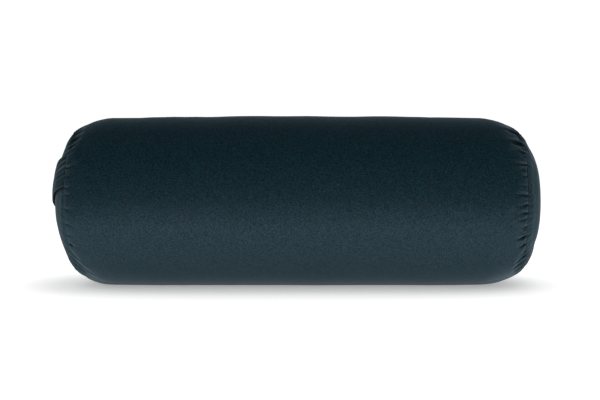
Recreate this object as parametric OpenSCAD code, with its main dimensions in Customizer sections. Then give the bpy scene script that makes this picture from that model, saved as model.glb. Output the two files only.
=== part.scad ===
// Round bolster cushion: a zipped removable cover with a carry handle on one end,
// a sewn inner liner, and a rolled core wrapped in wadding.
//
// Frame: millimetres, +X along the cushion, +Z up, +Y to the back, where the zip is.
// The origin is on the resting face, under the middle of the cushion.

/* [Cushion] */
// Length over the two domed ends
cushion_length = 660; // [560:10:760]
// Diameter at the middle
cushion_diameter = 230; // [210:5:260]
// How far the underside settles flat under the cushion's own weight
settle_depth = 3; // [2:0.5:5]
// Radius of the soft shoulder between the tube and each end
shoulder_radius = 80; // [70:1:90]
// How far inside the tube's radius the end seams sit
seam_inset = 22; // [19:1:27]
// Height of each domed end above its seam
dome_rise = 32; // [26:1:36]

/* [Cover] */
// Thickness of the cover fabric
cover_t = 1.2; // [1:0.1:1.6]
// Width of the seam allowance turned in behind each end seam
allowance_w = 9; // [6:1:12]
// Stitches in each end seam
seam_stitches = 120; // [60:10:180]

/* [Carry handle] */
// Width of the strap
handle_w = 46; // [35:1:56]
// Thickness of the folded and topstitched strap
handle_t = 3; // [2:0.5:4]
// Tilt of the strap across the end, seen from the end
handle_tilt = 20; // [0:1:45]
// Distance of the strap's centreline from the middle of the end
handle_offset = 17; // [0:1:20]

/* [Zip] */
// Angle of the zip below the level of the axis, at the back
zip_angle = 38; // [20:1:50]
// How much shorter the zip opening is than the cushion
zip_setback = 180; // [180:10:240]
// Width of the opening between the two folded fabric edges
zip_gap = 12; // [11.5:0.5:14]
// Width of each zip tape, from the middle of the zip
zip_tape_w = 16; // [13:1:18]
// Pitch of the zip's teeth
tooth_pitch = 2; // [2:0.25:3]
// Length of the pull tab beyond its eye
pull_length = 21; // [16:1:28]
// Spacing of the topstitches beside the zip
topstitch_pitch = 4; // [3.5:0.5:6]

/* [Inner cushion] */
// Thickness of the liner fabric
liner_t = 0.7; // [0.5:0.1:1]
// Space between the cover and the liner
liner_gap = 2.3; // [2.3:0.1:3]
// Radius of the firm rolled core
core_radius = 86; // [60:1:88]

/* [Hidden] */
$fn = 72;

steps = 10;
gap = 0.05;
body_r = cushion_diameter / 2;
half_l = cushion_length / 2;
axis_z = body_r - settle_depth;
fold = 2 * (cover_t + gap);

// Levels of the zip's parts, measured out from the cushion's axis.
inner_r = body_r - cover_t;
tape_top = inner_r - 0.15;
tape_low = tape_top - 0.6;
coil_low = inner_r - 0.05;
coil_top = coil_low + 1.8;
plate_low = coil_top + 0.2;
plate_top = plate_low + 1;
pivot_r = plate_top + 0.8;
slider_x = half_l - zip_setback / 2 - 16;
zip_half = half_l - zip_setback / 2;

// An outline is [tube radius, shoulder radius, seam radius, half length, dome rise].
cover_c = [body_r, shoulder_radius, body_r - seam_inset, half_l, dome_rise];
liner_r = inner_r - liner_gap;
liner_c = [liner_r, shoulder_radius - 2, liner_r - seam_inset - 0.5, half_l - 3, dome_rise];
liner_z = cover_t + liner_gap;
pad_x = half_l - 56;

function dome_r(c) = (c[2] * c[2] + c[4] * c[4]) / (2 * c[4]);
function dome_x(c) = c[3] - dome_r(c);
function dome_a(c) = asin(c[2] / dome_r(c));
function hub_r(c) = c[0] - c[1];
function seam_a(c) = asin((c[2] - hub_r(c)) / c[1]);
function seam_x(c) = c[3] - c[4];
function hub_x(c) = seam_x(c) - c[1] * cos(seam_a(c));

// Points are [radius, place along the axis], on a curve d inside the outline.
function shoulder(c, d, a0, a1) = [for (i = [0:steps]) let (a = a0 + (a1 - a0) * i / steps)
    [hub_r(c) + (c[1] - d) * sin(a), hub_x(c) + (c[1] - d) * cos(a)]];
function dome(c, d, a0, a1) = [for (i = [0:steps]) let (a = a0 + (a1 - a0) * i / steps)
    [(dome_r(c) - d) * sin(a), dome_x(c) + (dome_r(c) - d) * cos(a)]];
function flipped(p) = [for (i = [len(p) - 1:-1:0]) [p[i][0], -p[i][1]]];
function both_ends(p) = concat(p, flipped(p));
function filled(c, d) = let (p = concat(shoulder(c, d, 90, seam_a(c) + 0.5), dome(c, d, dome_a(c) - 0.5, 0)))
    concat(p, flipped(p));

module fabric() color([0.10, 0.19, 0.22]) children();
module calico() color([0.86, 0.83, 0.76]) children();
module batting() color([0.93, 0.92, 0.89]) children();
module thread() color([0.07, 0.14, 0.17]) children();
module metal() color([0.16, 0.17, 0.18]) children();

// Turns an outline about the cushion's axis.
module turned(pts) {
    translate([0, 0, axis_z]) rotate([0, 90, 0]) rotate_extrude() polygon(pts);
}

// A slab across the whole cushion between two heights.
module level(z0, z1) {
    translate([-half_l - 10, -body_r - 10, z0]) cube([cushion_length + 20, cushion_diameter + 20, z1 - z0]);
}

// Where a flat level meets a turned outline: the flat strip that closes the underside.
module underside(c, z0, t) {
    intersection() {
        turned(both_ends(shoulder(c, 0, 90, seam_a(c))));
        level(z0, z0 + t);
    }
}

module cover_tube() {
    a1 = dome_a(cover_c);
    a0 = a1 - allowance_w / dome_r(cover_c) * 180 / PI;
    section = concat(
        shoulder(cover_c, 0, 90, seam_a(cover_c)),
        dome(cover_c, fold, a1, a0),
        dome(cover_c, fold + cover_t, a0, a1),
        shoulder(cover_c, cover_t, seam_a(cover_c) + 3.2, 90));
    fabric() difference() {
        union() {
            difference() {
                turned(both_ends(section));
                level(-20, cover_t);
            }
            underside(cover_c, 0, cover_t);
        }
        zip_frame() translate([-zip_half, -zip_gap / 2, body_r - 12]) cube([2 * zip_half, zip_gap, 24]);
    }
}

// The domed end panel, doubled along its rim by its turned-in allowance.
module cover_end(side) {
    a1 = dome_a(cover_c) - 0.03;
    a0 = a1 - allowance_w / dome_r(cover_c) * 180 / PI;
    section = concat(
        dome(cover_c, 0, 0, a1),
        dome(cover_c, 2 * cover_t, a1, a0),
        dome(cover_c, cover_t, a0 - 0.2, 0));
    fabric() mirror([side < 0 ? 1 : 0, 0, 0]) turned(section);
}

// Lockstitches through both seam allowances.
module end_seam_thread(side) {
    a = dome_a(cover_c) - 3 / dome_r(cover_c) * 180 / PI;
    thread() mirror([side < 0 ? 1 : 0, 0, 0])
        translate([dome_x(cover_c), 0, axis_z])
            for (i = [0:seam_stitches - 1])
                rotate([i * 360 / seam_stitches, 0, 0]) rotate([0, 90 - a, 0])
                    translate([0, 0, dome_r(cover_c) - fold - cover_t - 0.2])
                        cylinder(r = 0.3, h = 2 * cover_t + 0.3, $fn = 16);
}

// A strap of the cover fabric across the left end, both ends caught in the end seam.
module carry_handle() {
    r0 = dome_r(cover_c) + 0.4;
    fabric() translate([0, 0, axis_z]) intersection() {
        translate([-dome_x(cover_c), 0, 0]) difference() {
            sphere(r = r0 + handle_t);
            sphere(r = r0);
        }
        rotate([-handle_tilt, 0, 0]) translate([-half_l - 20, -body_r, handle_offset - handle_w / 2])
            cube([60, 2 * body_r, handle_w]);
        translate([-half_l - 20, 0, 0]) rotate([0, 90, 0]) cylinder(r = cover_c[2] - 0.6, h = 60);
    }
}

// Moves children into the zip's own frame: +X along the zip, +Z out of the cushion, +Y down.
module zip_frame() {
    translate([0, 0, axis_z]) rotate([-90 - zip_angle, 0, 0]) children();
}

// A strip that follows the cushion's curve, in the zip's frame.
module strip(r0, r1, y0, y1, x0, x1) {
    a0 = asin(y0 * 2 / (r0 + r1));
    a1 = asin(y1 * 2 / (r0 + r1));
    rotate([0, -90, 0]) rotate([0, 0, a0]) rotate_extrude(angle = a1 - a0)
        translate([r0, -x1]) square([r1 - r0, x1 - x0]);
}

module zip_tape(side) {
    color([0.09, 0.17, 0.20]) zip_frame() mirror([0, side < 0 ? 1 : 0, 0])
        strip(tape_low, tape_top, 0.9, zip_tape_w, -zip_half - 4, zip_half + 4);
}

// One side of the closed chain, which parts from the other side inside the slider.
module zip_coil(side) {
    w = tooth_pitch / 2 - 0.15;
    x0 = -zip_half + 8;
    n = floor((slider_x + 0.4 - x0) / tooth_pitch);
    shift = side < 0 ? tooth_pitch / 2 : 0;
    teeth = [for (k = [0:n - 1]) let (x = x0 + shift + k * tooth_pitch)
        each [[x - w / 2, 1.7], [x - w / 2, -0.75], [x + w / 2, -0.75], [x + w / 2, 1.7]]];
    outline = concat([[x0 - 1.2, 3], [x0 - 1.2, 1.7]], teeth,
        [[slider_x + 1.6, 1.75], [slider_x + 3.4, 2.4], [slider_x + 8.4, 2.4],
         [slider_x + 8.4, 3.7], [slider_x + 3.4, 3.7], [slider_x + 1.6, 3]]);
    color([0.08, 0.15, 0.18]) zip_frame() mirror([0, side < 0 ? 1 : 0, 0])
        translate([0, 0, coil_low]) linear_extrude(height = coil_top - coil_low) polygon(outline);
}

module zip_top_stops() {
    metal() zip_frame() for (s = [-1, 1])
        translate([slider_x + 9.8, s * 3.05, (coil_low + coil_top) / 2]) cube([2.2, 1.9, 1.7], center = true);
}

module zip_bottom_stop() {
    metal() zip_frame()
        translate([-zip_half + 4.6, 0, (coil_low + coil_top) / 2]) cube([3, 6.4, 1.7], center = true);
}

module zip_topstitching() {
    n = floor((2 * zip_half + 4) / topstitch_pitch);
    a = asin((zip_gap / 2 + 3) / body_r);
    m = floor((zip_gap + 4) / topstitch_pitch);
    thread() zip_frame() {
        for (s = [-1, 1], i = [0:n - 1])
            rotate([s * a, 0, 0]) translate([(i - (n - 1) / 2) * topstitch_pitch, 0, body_r + 0.35])
                rotate([0, 90, 0]) cylinder(r = 0.3, h = topstitch_pitch * 0.7, center = true, $fn = 16);
        for (s = [-1, 1], i = [0:m - 1])
            rotate([(i - (m - 1) / 2) * topstitch_pitch / body_r * 180 / PI, 0, 0])
                translate([s * (zip_half + 4), 0, body_r + 0.38])
                    rotate([90, 0, 0]) cylinder(r = 0.3, h = topstitch_pitch * 0.7, center = true, $fn = 16);
    }
}

// Slider body: two plates joined by the wedge that parts the chain, with a bridge for the pull.
module zip_slider() {
    metal() zip_frame() translate([slider_x, 0, 0]) {
        translate([0, 0, plate_low]) linear_extrude(height = 1)
            polygon([[-6, -3.2], [-4.6, -4.4], [1.5, -5], [4.8, -5], [6.2, -4], [6.2, 4], [4.8, 5], [1.5, 5], [-4.6, 4.4], [-6, 3.2]]);
        for (s = [-1, 1]) translate([-4, s * 4.45 - 0.45, tape_top + 0.3]) cube([8.5, 0.9, plate_low - tape_top]);
        translate([0, 0, tape_low - 1.15]) linear_extrude(height = 0.9)
            polygon([[-5.4, -3], [-4.2, -4], [1.5, -4.6], [4.6, -4.6], [5.8, -3.8], [5.8, 3.8], [4.6, 4.6], [1.5, 4.6], [-4.2, 4], [-5.4, 3]]);
        translate([0, 0, tape_low - 0.5]) linear_extrude(height = plate_low - tape_low + 1)
            polygon([[2.2, 0], [2.9, -0.7], [5.2, -0.7], [5.2, 0.7], [2.9, 0.7]]);
        translate([0, 0, coil_low + 0.05]) linear_extrude(height = plate_low - coil_low + 0.4)
            polygon([[2.4, -0.25], [3.6, -1.4], [5.3, -1.4], [5.3, 1.4], [3.6, 1.4], [2.4, 0.25]]);
        for (x = [-3.2, 3.2]) translate([x - 0.45, -0.9, plate_top - 0.3]) cube([0.9, 1.8, 2]);
        translate([-3.65, -0.9, plate_top + 1.6]) cube([7.3, 1.8, 0.8]);
    }
}

// Pull tab: a crossbar through the slider's bridge, two arms and a tapered tab with a hole.
module zip_pull() {
    metal() zip_frame() translate([slider_x, 0, pivot_r]) {
        rotate([90, 0, 0]) cylinder(r = 0.45, h = 3, center = true, $fn = 32);
        for (s = [-1, 1]) translate([-0.5, s * 1.8 - 0.5, -0.5]) cube([7, 1, 1]);
        translate([0, 0, -0.5]) linear_extrude(height = 1) difference() {
            polygon([[5, -2.3], [7, -2.8], [5 + pull_length * 0.8, -2.6], [5 + pull_length, -1.5],
                [5 + pull_length, 1.5], [5 + pull_length * 0.8, 2.6], [7, 2.8], [5, 2.3]]);
            translate([5 + pull_length - 4, 0]) circle(r = 1.2, $fn = 32);
        }
    }
}

// A blank folded ribbon sewn in beside the zip, inside the cover.
module care_label() {
    color([0.92, 0.92, 0.90]) zip_frame()
        strip(inner_r - 1.5, inner_r - 1.1, zip_tape_w + 2, zip_tape_w + 26, zip_half - 50, zip_half - 20);
}

module liner_tube() {
    a = seam_a(liner_c);
    calico() {
        difference() {
            turned(both_ends(concat(shoulder(liner_c, 0, 90, a), shoulder(liner_c, liner_t, a, 90))));
            level(-20, liner_z + liner_t);
        }
        underside(liner_c, liner_z, liner_t);
    }
}

module liner_end(side) {
    a = dome_a(liner_c) - 0.15;
    calico() mirror([side < 0 ? 1 : 0, 0, 0])
        turned(concat(dome(liner_c, 0, 0, a), dome(liner_c, liner_t, a, 0)));
}

// The firm roll of batting in the middle.
module core_roll() {
    x = pad_x - 1;
    batting() turned([[0, -x], [core_radius - 9, -x], [core_radius - 2.6, -x + 2.6], [core_radius, -x + 9],
        [core_radius, x - 9], [core_radius - 2.6, x - 2.6], [core_radius - 9, x], [0, x]]);
}

module wadding_solid(x0, x1) {
    intersection() {
        turned(filled(liner_c, liner_t + 0.2));
        translate([x0, -body_r, liner_z + liner_t + 0.2]) cube([x1 - x0, 2 * body_r, 2 * body_r]);
    }
}

// Soft wadding wrapped round the core.
module wadding_wrap() {
    batting() difference() {
        wadding_solid(-pad_x, pad_x);
        translate([-half_l, 0, axis_z]) rotate([0, 90, 0]) cylinder(r = core_radius + 0.3, h = cushion_length);
    }
}

module wadding_end(side) {
    batting() mirror([side < 0 ? 1 : 0, 0, 0]) wadding_solid(pad_x + 0.3, half_l);
}

cover_tube();
cover_end(-1);  // cover_end_left
cover_end(1);  // cover_end_right
end_seam_thread(-1);  // end_seam_thread_left
end_seam_thread(1);  // end_seam_thread_right
carry_handle();
zip_tape(-1);  // zip_tape_upper
zip_tape(1);  // zip_tape_lower
zip_coil(-1);  // zip_coil_upper
zip_coil(1);  // zip_coil_lower
zip_top_stops();
zip_bottom_stop();
zip_topstitching();
zip_slider();
zip_pull();
care_label();
liner_tube();
liner_end(-1);  // liner_end_left
liner_end(1);  // liner_end_right
core_roll();
wadding_wrap();
wadding_end(-1);  // wadding_end_left
wadding_end(1);  // wadding_end_right
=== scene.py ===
import math

import bmesh
import bpy
import numpy as np
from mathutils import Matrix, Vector


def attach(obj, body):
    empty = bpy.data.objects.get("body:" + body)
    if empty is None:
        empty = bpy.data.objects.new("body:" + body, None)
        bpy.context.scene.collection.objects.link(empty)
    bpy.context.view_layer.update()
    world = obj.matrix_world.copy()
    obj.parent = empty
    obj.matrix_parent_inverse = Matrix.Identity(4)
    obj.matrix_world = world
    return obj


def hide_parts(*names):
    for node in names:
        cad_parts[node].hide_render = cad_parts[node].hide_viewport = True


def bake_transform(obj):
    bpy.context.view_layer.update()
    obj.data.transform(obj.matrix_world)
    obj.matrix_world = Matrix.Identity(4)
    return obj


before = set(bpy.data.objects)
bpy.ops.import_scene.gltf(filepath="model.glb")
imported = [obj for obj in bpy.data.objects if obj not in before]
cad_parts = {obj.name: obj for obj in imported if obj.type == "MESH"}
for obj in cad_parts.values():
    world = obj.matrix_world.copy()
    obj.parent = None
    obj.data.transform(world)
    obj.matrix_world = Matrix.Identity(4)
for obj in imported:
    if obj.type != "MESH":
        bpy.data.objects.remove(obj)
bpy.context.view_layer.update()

# ---------------------------------------------------------------------------
# Sizes in millimetres, in the CAD's own frame; meshes are written in metres.
# phi is the angle round the cushion: 0 faces the front (-Y), 90 degrees is up.
# ---------------------------------------------------------------------------
AX = 112.0
COVER = dict(R=115.0, S=80.0, seam=93.0, L=330.0, rise=32.0)
LINER = dict(R=111.5, S=78.0, seam=89.0, L=327.0, rise=32.0)
for c in (COVER, LINER):
    c["dR"] = (c["seam"] ** 2 + c["rise"] ** 2) / (2 * c["rise"])
    c["dx"] = c["L"] - c["dR"]
    c["da"] = math.asin(c["seam"] / c["dR"])
    c["hub"] = c["R"] - c["S"]
    c["sa"] = math.asin((c["seam"] - c["hub"]) / c["S"])
    c["sx"] = c["L"] - c["rise"]
    c["hx"] = c["sx"] - c["S"] * math.cos(c["sa"])
    c["arc"] = c["S"] * (math.pi / 2 - c["sa"])
ZIP_PHI = math.radians(218)
ZIP_HALF = 240.0
SLOT = 6.0
SLIDER_X = 224.0
LIP = 1.2
N_ROUND = 760

D2R = math.pi / 180
# carry handle: tilt round the cushion's axis, height of its middle line, width and thickness
TILT = 20.0 * D2R
OFFSET, WIDTH, THICK = 17.0, 46.0, 3.0


def smooth(a, b, x):
    t = np.clip((x - a) / (b - a), 0, 1)
    return t * t * (3 - 2 * t)


def wrap(a):
    return (a + math.pi) % (2 * math.pi) - math.pi


def waves(x, phi, seed, n, kmax, lmin, lmax):
    """Smooth irregular height of about unit size, closed round the cushion."""
    g = np.random.default_rng(seed)
    h = np.zeros(np.broadcast(x, phi).shape)
    for _ in range(n):
        k = g.integers(0, kmax + 1)
        m = g.uniform(1 / lmax, 1 / lmin) * g.choice([-1, 1])
        h = h + np.cos(k * phi + 2 * math.pi * m * x + g.uniform(0, 2 * math.pi))
    return h / math.sqrt(n / 2)


# ---------------------------------------------------------------------------
# Gathers at the end seams: (phi degrees, depth mm, length mm, width mm, slant deg per mm, distance from the seam mm)
# ---------------------------------------------------------------------------
RIGHT = [
    (80, 2.2, 22, 2.2, -0.20, 3), (72, 3.7, 40, 2.6, -0.24, 5), (65.5, 2.8, 15, 2.2, 0.0, 0), (61, 2.0, 12, 1.8, -0.1, 0),
    (55.5, 4.6, 34, 2.5, -0.21, 0), (50.5, 1.8, 10, 1.6, 0.0, 0), (45.5, 2.7, 14, 1.7, -0.10, 0), (42, 1.9, 10, 1.5, -0.1, 1),
    (34.2, 3.2, 27, 1.3, -0.12, 0), (29, 0.7, 10, 1.4, 0.0, 2), (24.3, 2.0, 16, 1.35, -0.04, 0), (16, 0.5, 9, 1.3, 0.1, 1),
    (8.1, 1.9, 24, 1.4, 0.09, 0), (1.2, 2.1, 15, 1.35, 0.0, 1), (-4.6, 2.1, 13, 1.35, 0.03, 0), (-9.5, 0.7, 9, 1.4, 0.0, 1),
    (-15.8, 1.9, 13, 1.5, 0.0, 0), (-18.4, 1.1, 12, 1.3, 0.05, 1), (-24.5, 3.3, 22, 1.35, 0.02, 0), (-32, 2.1, 15, 1.5, 0.0, 1),
    (-39, 0.9, 12, 1.4, -0.1, 0), (-44, 2.2, 24, 1.7, -0.10, 0), (-49.5, 2.9, 28, 1.9, -0.13, 1), (-57, 2.3, 26, 2.1, -0.20, 0),
    (-65, 1.5, 22, 1.6, -0.2, 0), (-77, 1.3, 18, 1.6, -0.1, 1),
]
LEFT = [
    (83, 1.9, 22, 2.4, -0.18, 3), (76.5, 3.2, 26, 2.6, -0.20, 4), (70.5, 3.4, 26, 2.4, -0.20, 1), (65.5, 2.6, 18, 1.9, -0.14, 0),
    (61, 4.0, 22, 2.3, -0.16, 0), (56, 2.4, 15, 1.8, -0.1, 0), (51.5, 2.2, 14, 1.7, -0.1, 1), (45, 0.8, 12, 1.4, 0.0, 0),
    (31.5, 2.1, 20, 1.4, -0.06, 0), (24, 0.7, 20, 1.8, 0, 1), (14.6, 1.3, 12, 1.3, -0.03, 0), (9.6, 0.8, 10, 1.3, -0.03, 1),
    (-2, 0.4, 9, 1.4, 0.0, 0), (-14, 0.5, 11, 1.5, 0.0, 0), (-23, 0.5, 12, 1.6, 0.0, 1), (-31.8, 2.3, 13, 1.5, 0.03, 2),
    (-39.5, 1.0, 24, 1.8, -0.22, 0), (-46, 1.9, 44, 2.0, -0.30, 0), (-52, 2.5, 62, 2.2, -0.34, 4), (-58, 2.6, 56, 2.2, -0.34, 0),
    (-64.5, 2.4, 46, 2.3, -0.32, 3), (-72, 1.9, 32, 2.2, -0.25, 0), (-81, 1.3, 22, 1.8, -0.1, 1),
]


def fill_round(folds, seed):
    """Carries the gathers on round the top, the back and the underside."""
    g = np.random.default_rng(seed)
    out = list(folds)
    a = max(f[0] for f in folds) + 9
    last = min(f[0] for f in folds) + 360 - 6
    while a < last:
        # bunches of two to five folds, then an open stretch
        for _ in range(g.integers(2, 6)):
            deep = g.uniform(0, 1) ** 2.2
            out.append((a, 0.5 + 2.7 * deep, 9 + 16 * deep + g.uniform(0, 10), g.uniform(1.2, 1.9), g.uniform(-0.22, 0.18), g.uniform(0, 3)))
            a += g.uniform(3.4, 7.5)
            if a >= last:
                break
        a += g.uniform(3, 11)
    out = [(((f[0] + 180) % 360) - 180,) + tuple(f[1:]) for f in out]
    return sorted(out)


FOLDS = {1: fill_round(RIGHT, 11), -1: fill_round(LEFT, 23)}


def gathers(side, d, phi, reach=1.0, depth=1.0, pillow=1.0):
    """Height of the gathered fabric, d mm from the seam, and the painted shade in its creases (+) and painted highlight
    along its crests (-).
    """
    folds = FOLDS[side]
    h = np.zeros(np.broadcast(d, phi).shape)
    painted_shading, crest_highlight = np.zeros_like(h), np.zeros_like(h)
    for a, A, length, w, slant, start in folds:
        t = np.clip(d / (length * reach), 0, 1)
        fall = (1 - t) ** 2 * (1 + 2 * t) * (1 if start < 0.5 else smooth(-1.0, start * reach + 1.0, d))
        # each crease bends a little as it runs out from the seam
        bend = 0.7 * np.sin(a * 1.7 + d * 0.17)
        u = (wrap(phi - (a + slant * d) * D2R) * (93 + 0.2 * d) - bend) / (w * (1 + d / 32))
        near, far = np.exp(-(((u - 2.1) / 1.0) ** 2)), np.exp(-(((u + 2.2) / 1.0) ** 2))
        h = h - depth * A * fall * ((1 + u * u) ** -1.5 - 0.30 * near - 0.18 * far)
        # high on the cushion the upper wall of a crease hangs over it, so the painted shade moves onto that wall and is
        # made stronger; on the lower left the painted shade is weaker and the painted crest highlight stronger
        hang = 0.85 * float(smooth(20, 55, a)) * (a < 100)
        soft = side < 0 and -90 < a < -36
        force = depth * min(A / 2.6, 1.0) * (0.42 if soft else 1.0 + 0.5 * hang)
        painted_shading = np.maximum(painted_shading, force * fall ** (0.7 - 0.25 * hang) * np.exp(-(((u - 0.85 * hang) / (0.95 - 0.36 * hang)) ** 2)))
        force = force * (2.6 if soft else 1.0 + 0.3 * hang)
        # painted highlight along the crests beside each crease
        crest_highlight = np.maximum(crest_highlight, force * fall * (near * 0.9 + far * 0.35))
    edges = np.array([f[0] for f in folds]) * D2R
    edges = np.concatenate([edges, edges[:1] + 2 * math.pi])
    p = (phi - edges[0]) % (2 * math.pi) + edges[0]
    i = np.clip(np.searchsorted(edges, p, side="right") - 1, 0, len(edges) - 2)
    span = edges[i + 1] - edges[i]
    t = np.clip((p - edges[i]) / span, 0, 1)
    b = np.minimum(0.05 * span * 93, 0.6)
    h = h + pillow * b * ((4 * t * (1 - t)) ** 0.7 - 0.6) * np.exp(-((d / 12.0) ** 2))
    return h, painted_shading - crest_highlight * (1 - np.minimum(painted_shading * 2, 1))


def lip(d):
    """The rolled edge of a panel where it turns into the seam."""
    t = np.clip(1 - d / LIP, 0, 1)
    return -LIP * (1 - np.sqrt(np.clip(1 - t * t, 0, 1)))


def deform(p):
    """The cushion's own slackness: a slight crown, a settled underside and a less full lower left end."""
    p = np.asarray(p, float)
    x, y, z = p[..., 0].copy(), p[..., 1].copy(), p[..., 2].copy()
    ax = np.abs(x)
    t = np.clip(ax / 245, 0, 1) ** 2 * (1 - 0.75 * smooth(258, 296, ax))
    k = 1 - 0.012 * t
    y = y * k
    z = AX - 1.2 * t + (z - AX) * k
    low = (AX - z) / 112
    w = smooth(0.12, 0.55, low) * (1 - 0.7 * smooth(0.84, 1.0, low)) * smooth(-185, -300, x)
    x = x + 3.0 * w
    x = x + 5.5 * smooth(-296, -331, x)
    x = x - 2.7 * smooth(302, 331, x)
    w = smooth(0.45, 0.68, low) * (1 - 0.6 * smooth(0.86, 1.0, low)) * smooth(180, 280, x)
    x = x + 4.0 * w
    z = z + 1.0 * smooth(0.70, 0.95, low) * smooth(170, 262, ax)
    z = 0.5 * (z + np.sqrt(z * z + 6.0)) - 0.35
    return np.stack([x, y, z], -1)


def place(x, r, phi, nx, nr, h):
    """A point h mm out from an outline point, turned to phi."""
    rr = r + nr * h
    return np.stack([x + nx * h, -rr * np.cos(phi), AX + rr * np.sin(phi)], -1)


# ---------------------------------------------------------------------------
# Mesh helpers
# ---------------------------------------------------------------------------
def mesh_object(name, verts_mm, faces, uv=None, smooth_shade=True):
    me = bpy.data.meshes.new(name)
    me.from_pydata((np.asarray(verts_mm) * 0.001).tolist(), [], faces)
    if uv is not None:
        layer = me.uv_layers.new(name="UVMap")
        idx = np.zeros(len(me.loops), np.int64)
        me.loops.foreach_get("vertex_index", idx)
        layer.data.foreach_set("uv", (np.asarray(uv, np.float32)[idx] * 0.001).ravel())
    me.validate()
    me.update()
    ob = bpy.data.objects.new(name, me)
    bpy.context.scene.collection.objects.link(ob)
    if smooth_shade:
        me.shade_smooth()
    return ob


def mark(ob, painted_shading):
    """Stores painted shade (+) and painted highlight (-), for its material."""
    at = ob.data.attributes.new("painted_shading", "FLOAT", "POINT")
    at.data.foreach_set("value", np.asarray(painted_shading, np.float32))


def outward(ob):
    bm = bmesh.new()
    bm.from_mesh(ob.data)
    bmesh.ops.recalc_face_normals(bm, faces=bm.faces)
    bm.to_mesh(ob.data)
    bm.free()
    return ob


def grid_faces(nu, nv, closed_v=True, skip=None, offset=0):
    faces = []
    for i in range(nu - 1):
        for j in range(nv if closed_v else nv - 1):
            if skip is not None and skip[i, j]:
                continue
            k = (j + 1) % nv
            faces.append((offset + i * nv + j, offset + i * nv + k, offset + (i + 1) * nv + k, offset + (i + 1) * nv + j))
    return faces


def apply_modifiers(ob):
    dg = bpy.context.evaluated_depsgraph_get()
    me = bpy.data.meshes.new_from_object(ob.evaluated_get(dg), preserve_all_data_layers=True, depsgraph=dg)
    ob.modifiers.clear()
    old = ob.data
    ob.data = me
    bpy.data.meshes.remove(old)
    return ob


def thicken(ob, t_mm, smooth_angle=None):
    m = ob.modifiers.new("thick", "SOLIDIFY")
    m.thickness = t_mm * 0.001
    m.offset = -1
    m.use_even_offset = False
    m.use_quality_normals = True
    return apply_modifiers(ob)


def finish_piece(ob, body, mat, slot, *nodes):
    ob.data.materials.clear()
    ob.data.materials.append(mat)
    if body:
        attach(ob, body)
    if nodes:
        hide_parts(*nodes)
    return ob


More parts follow.
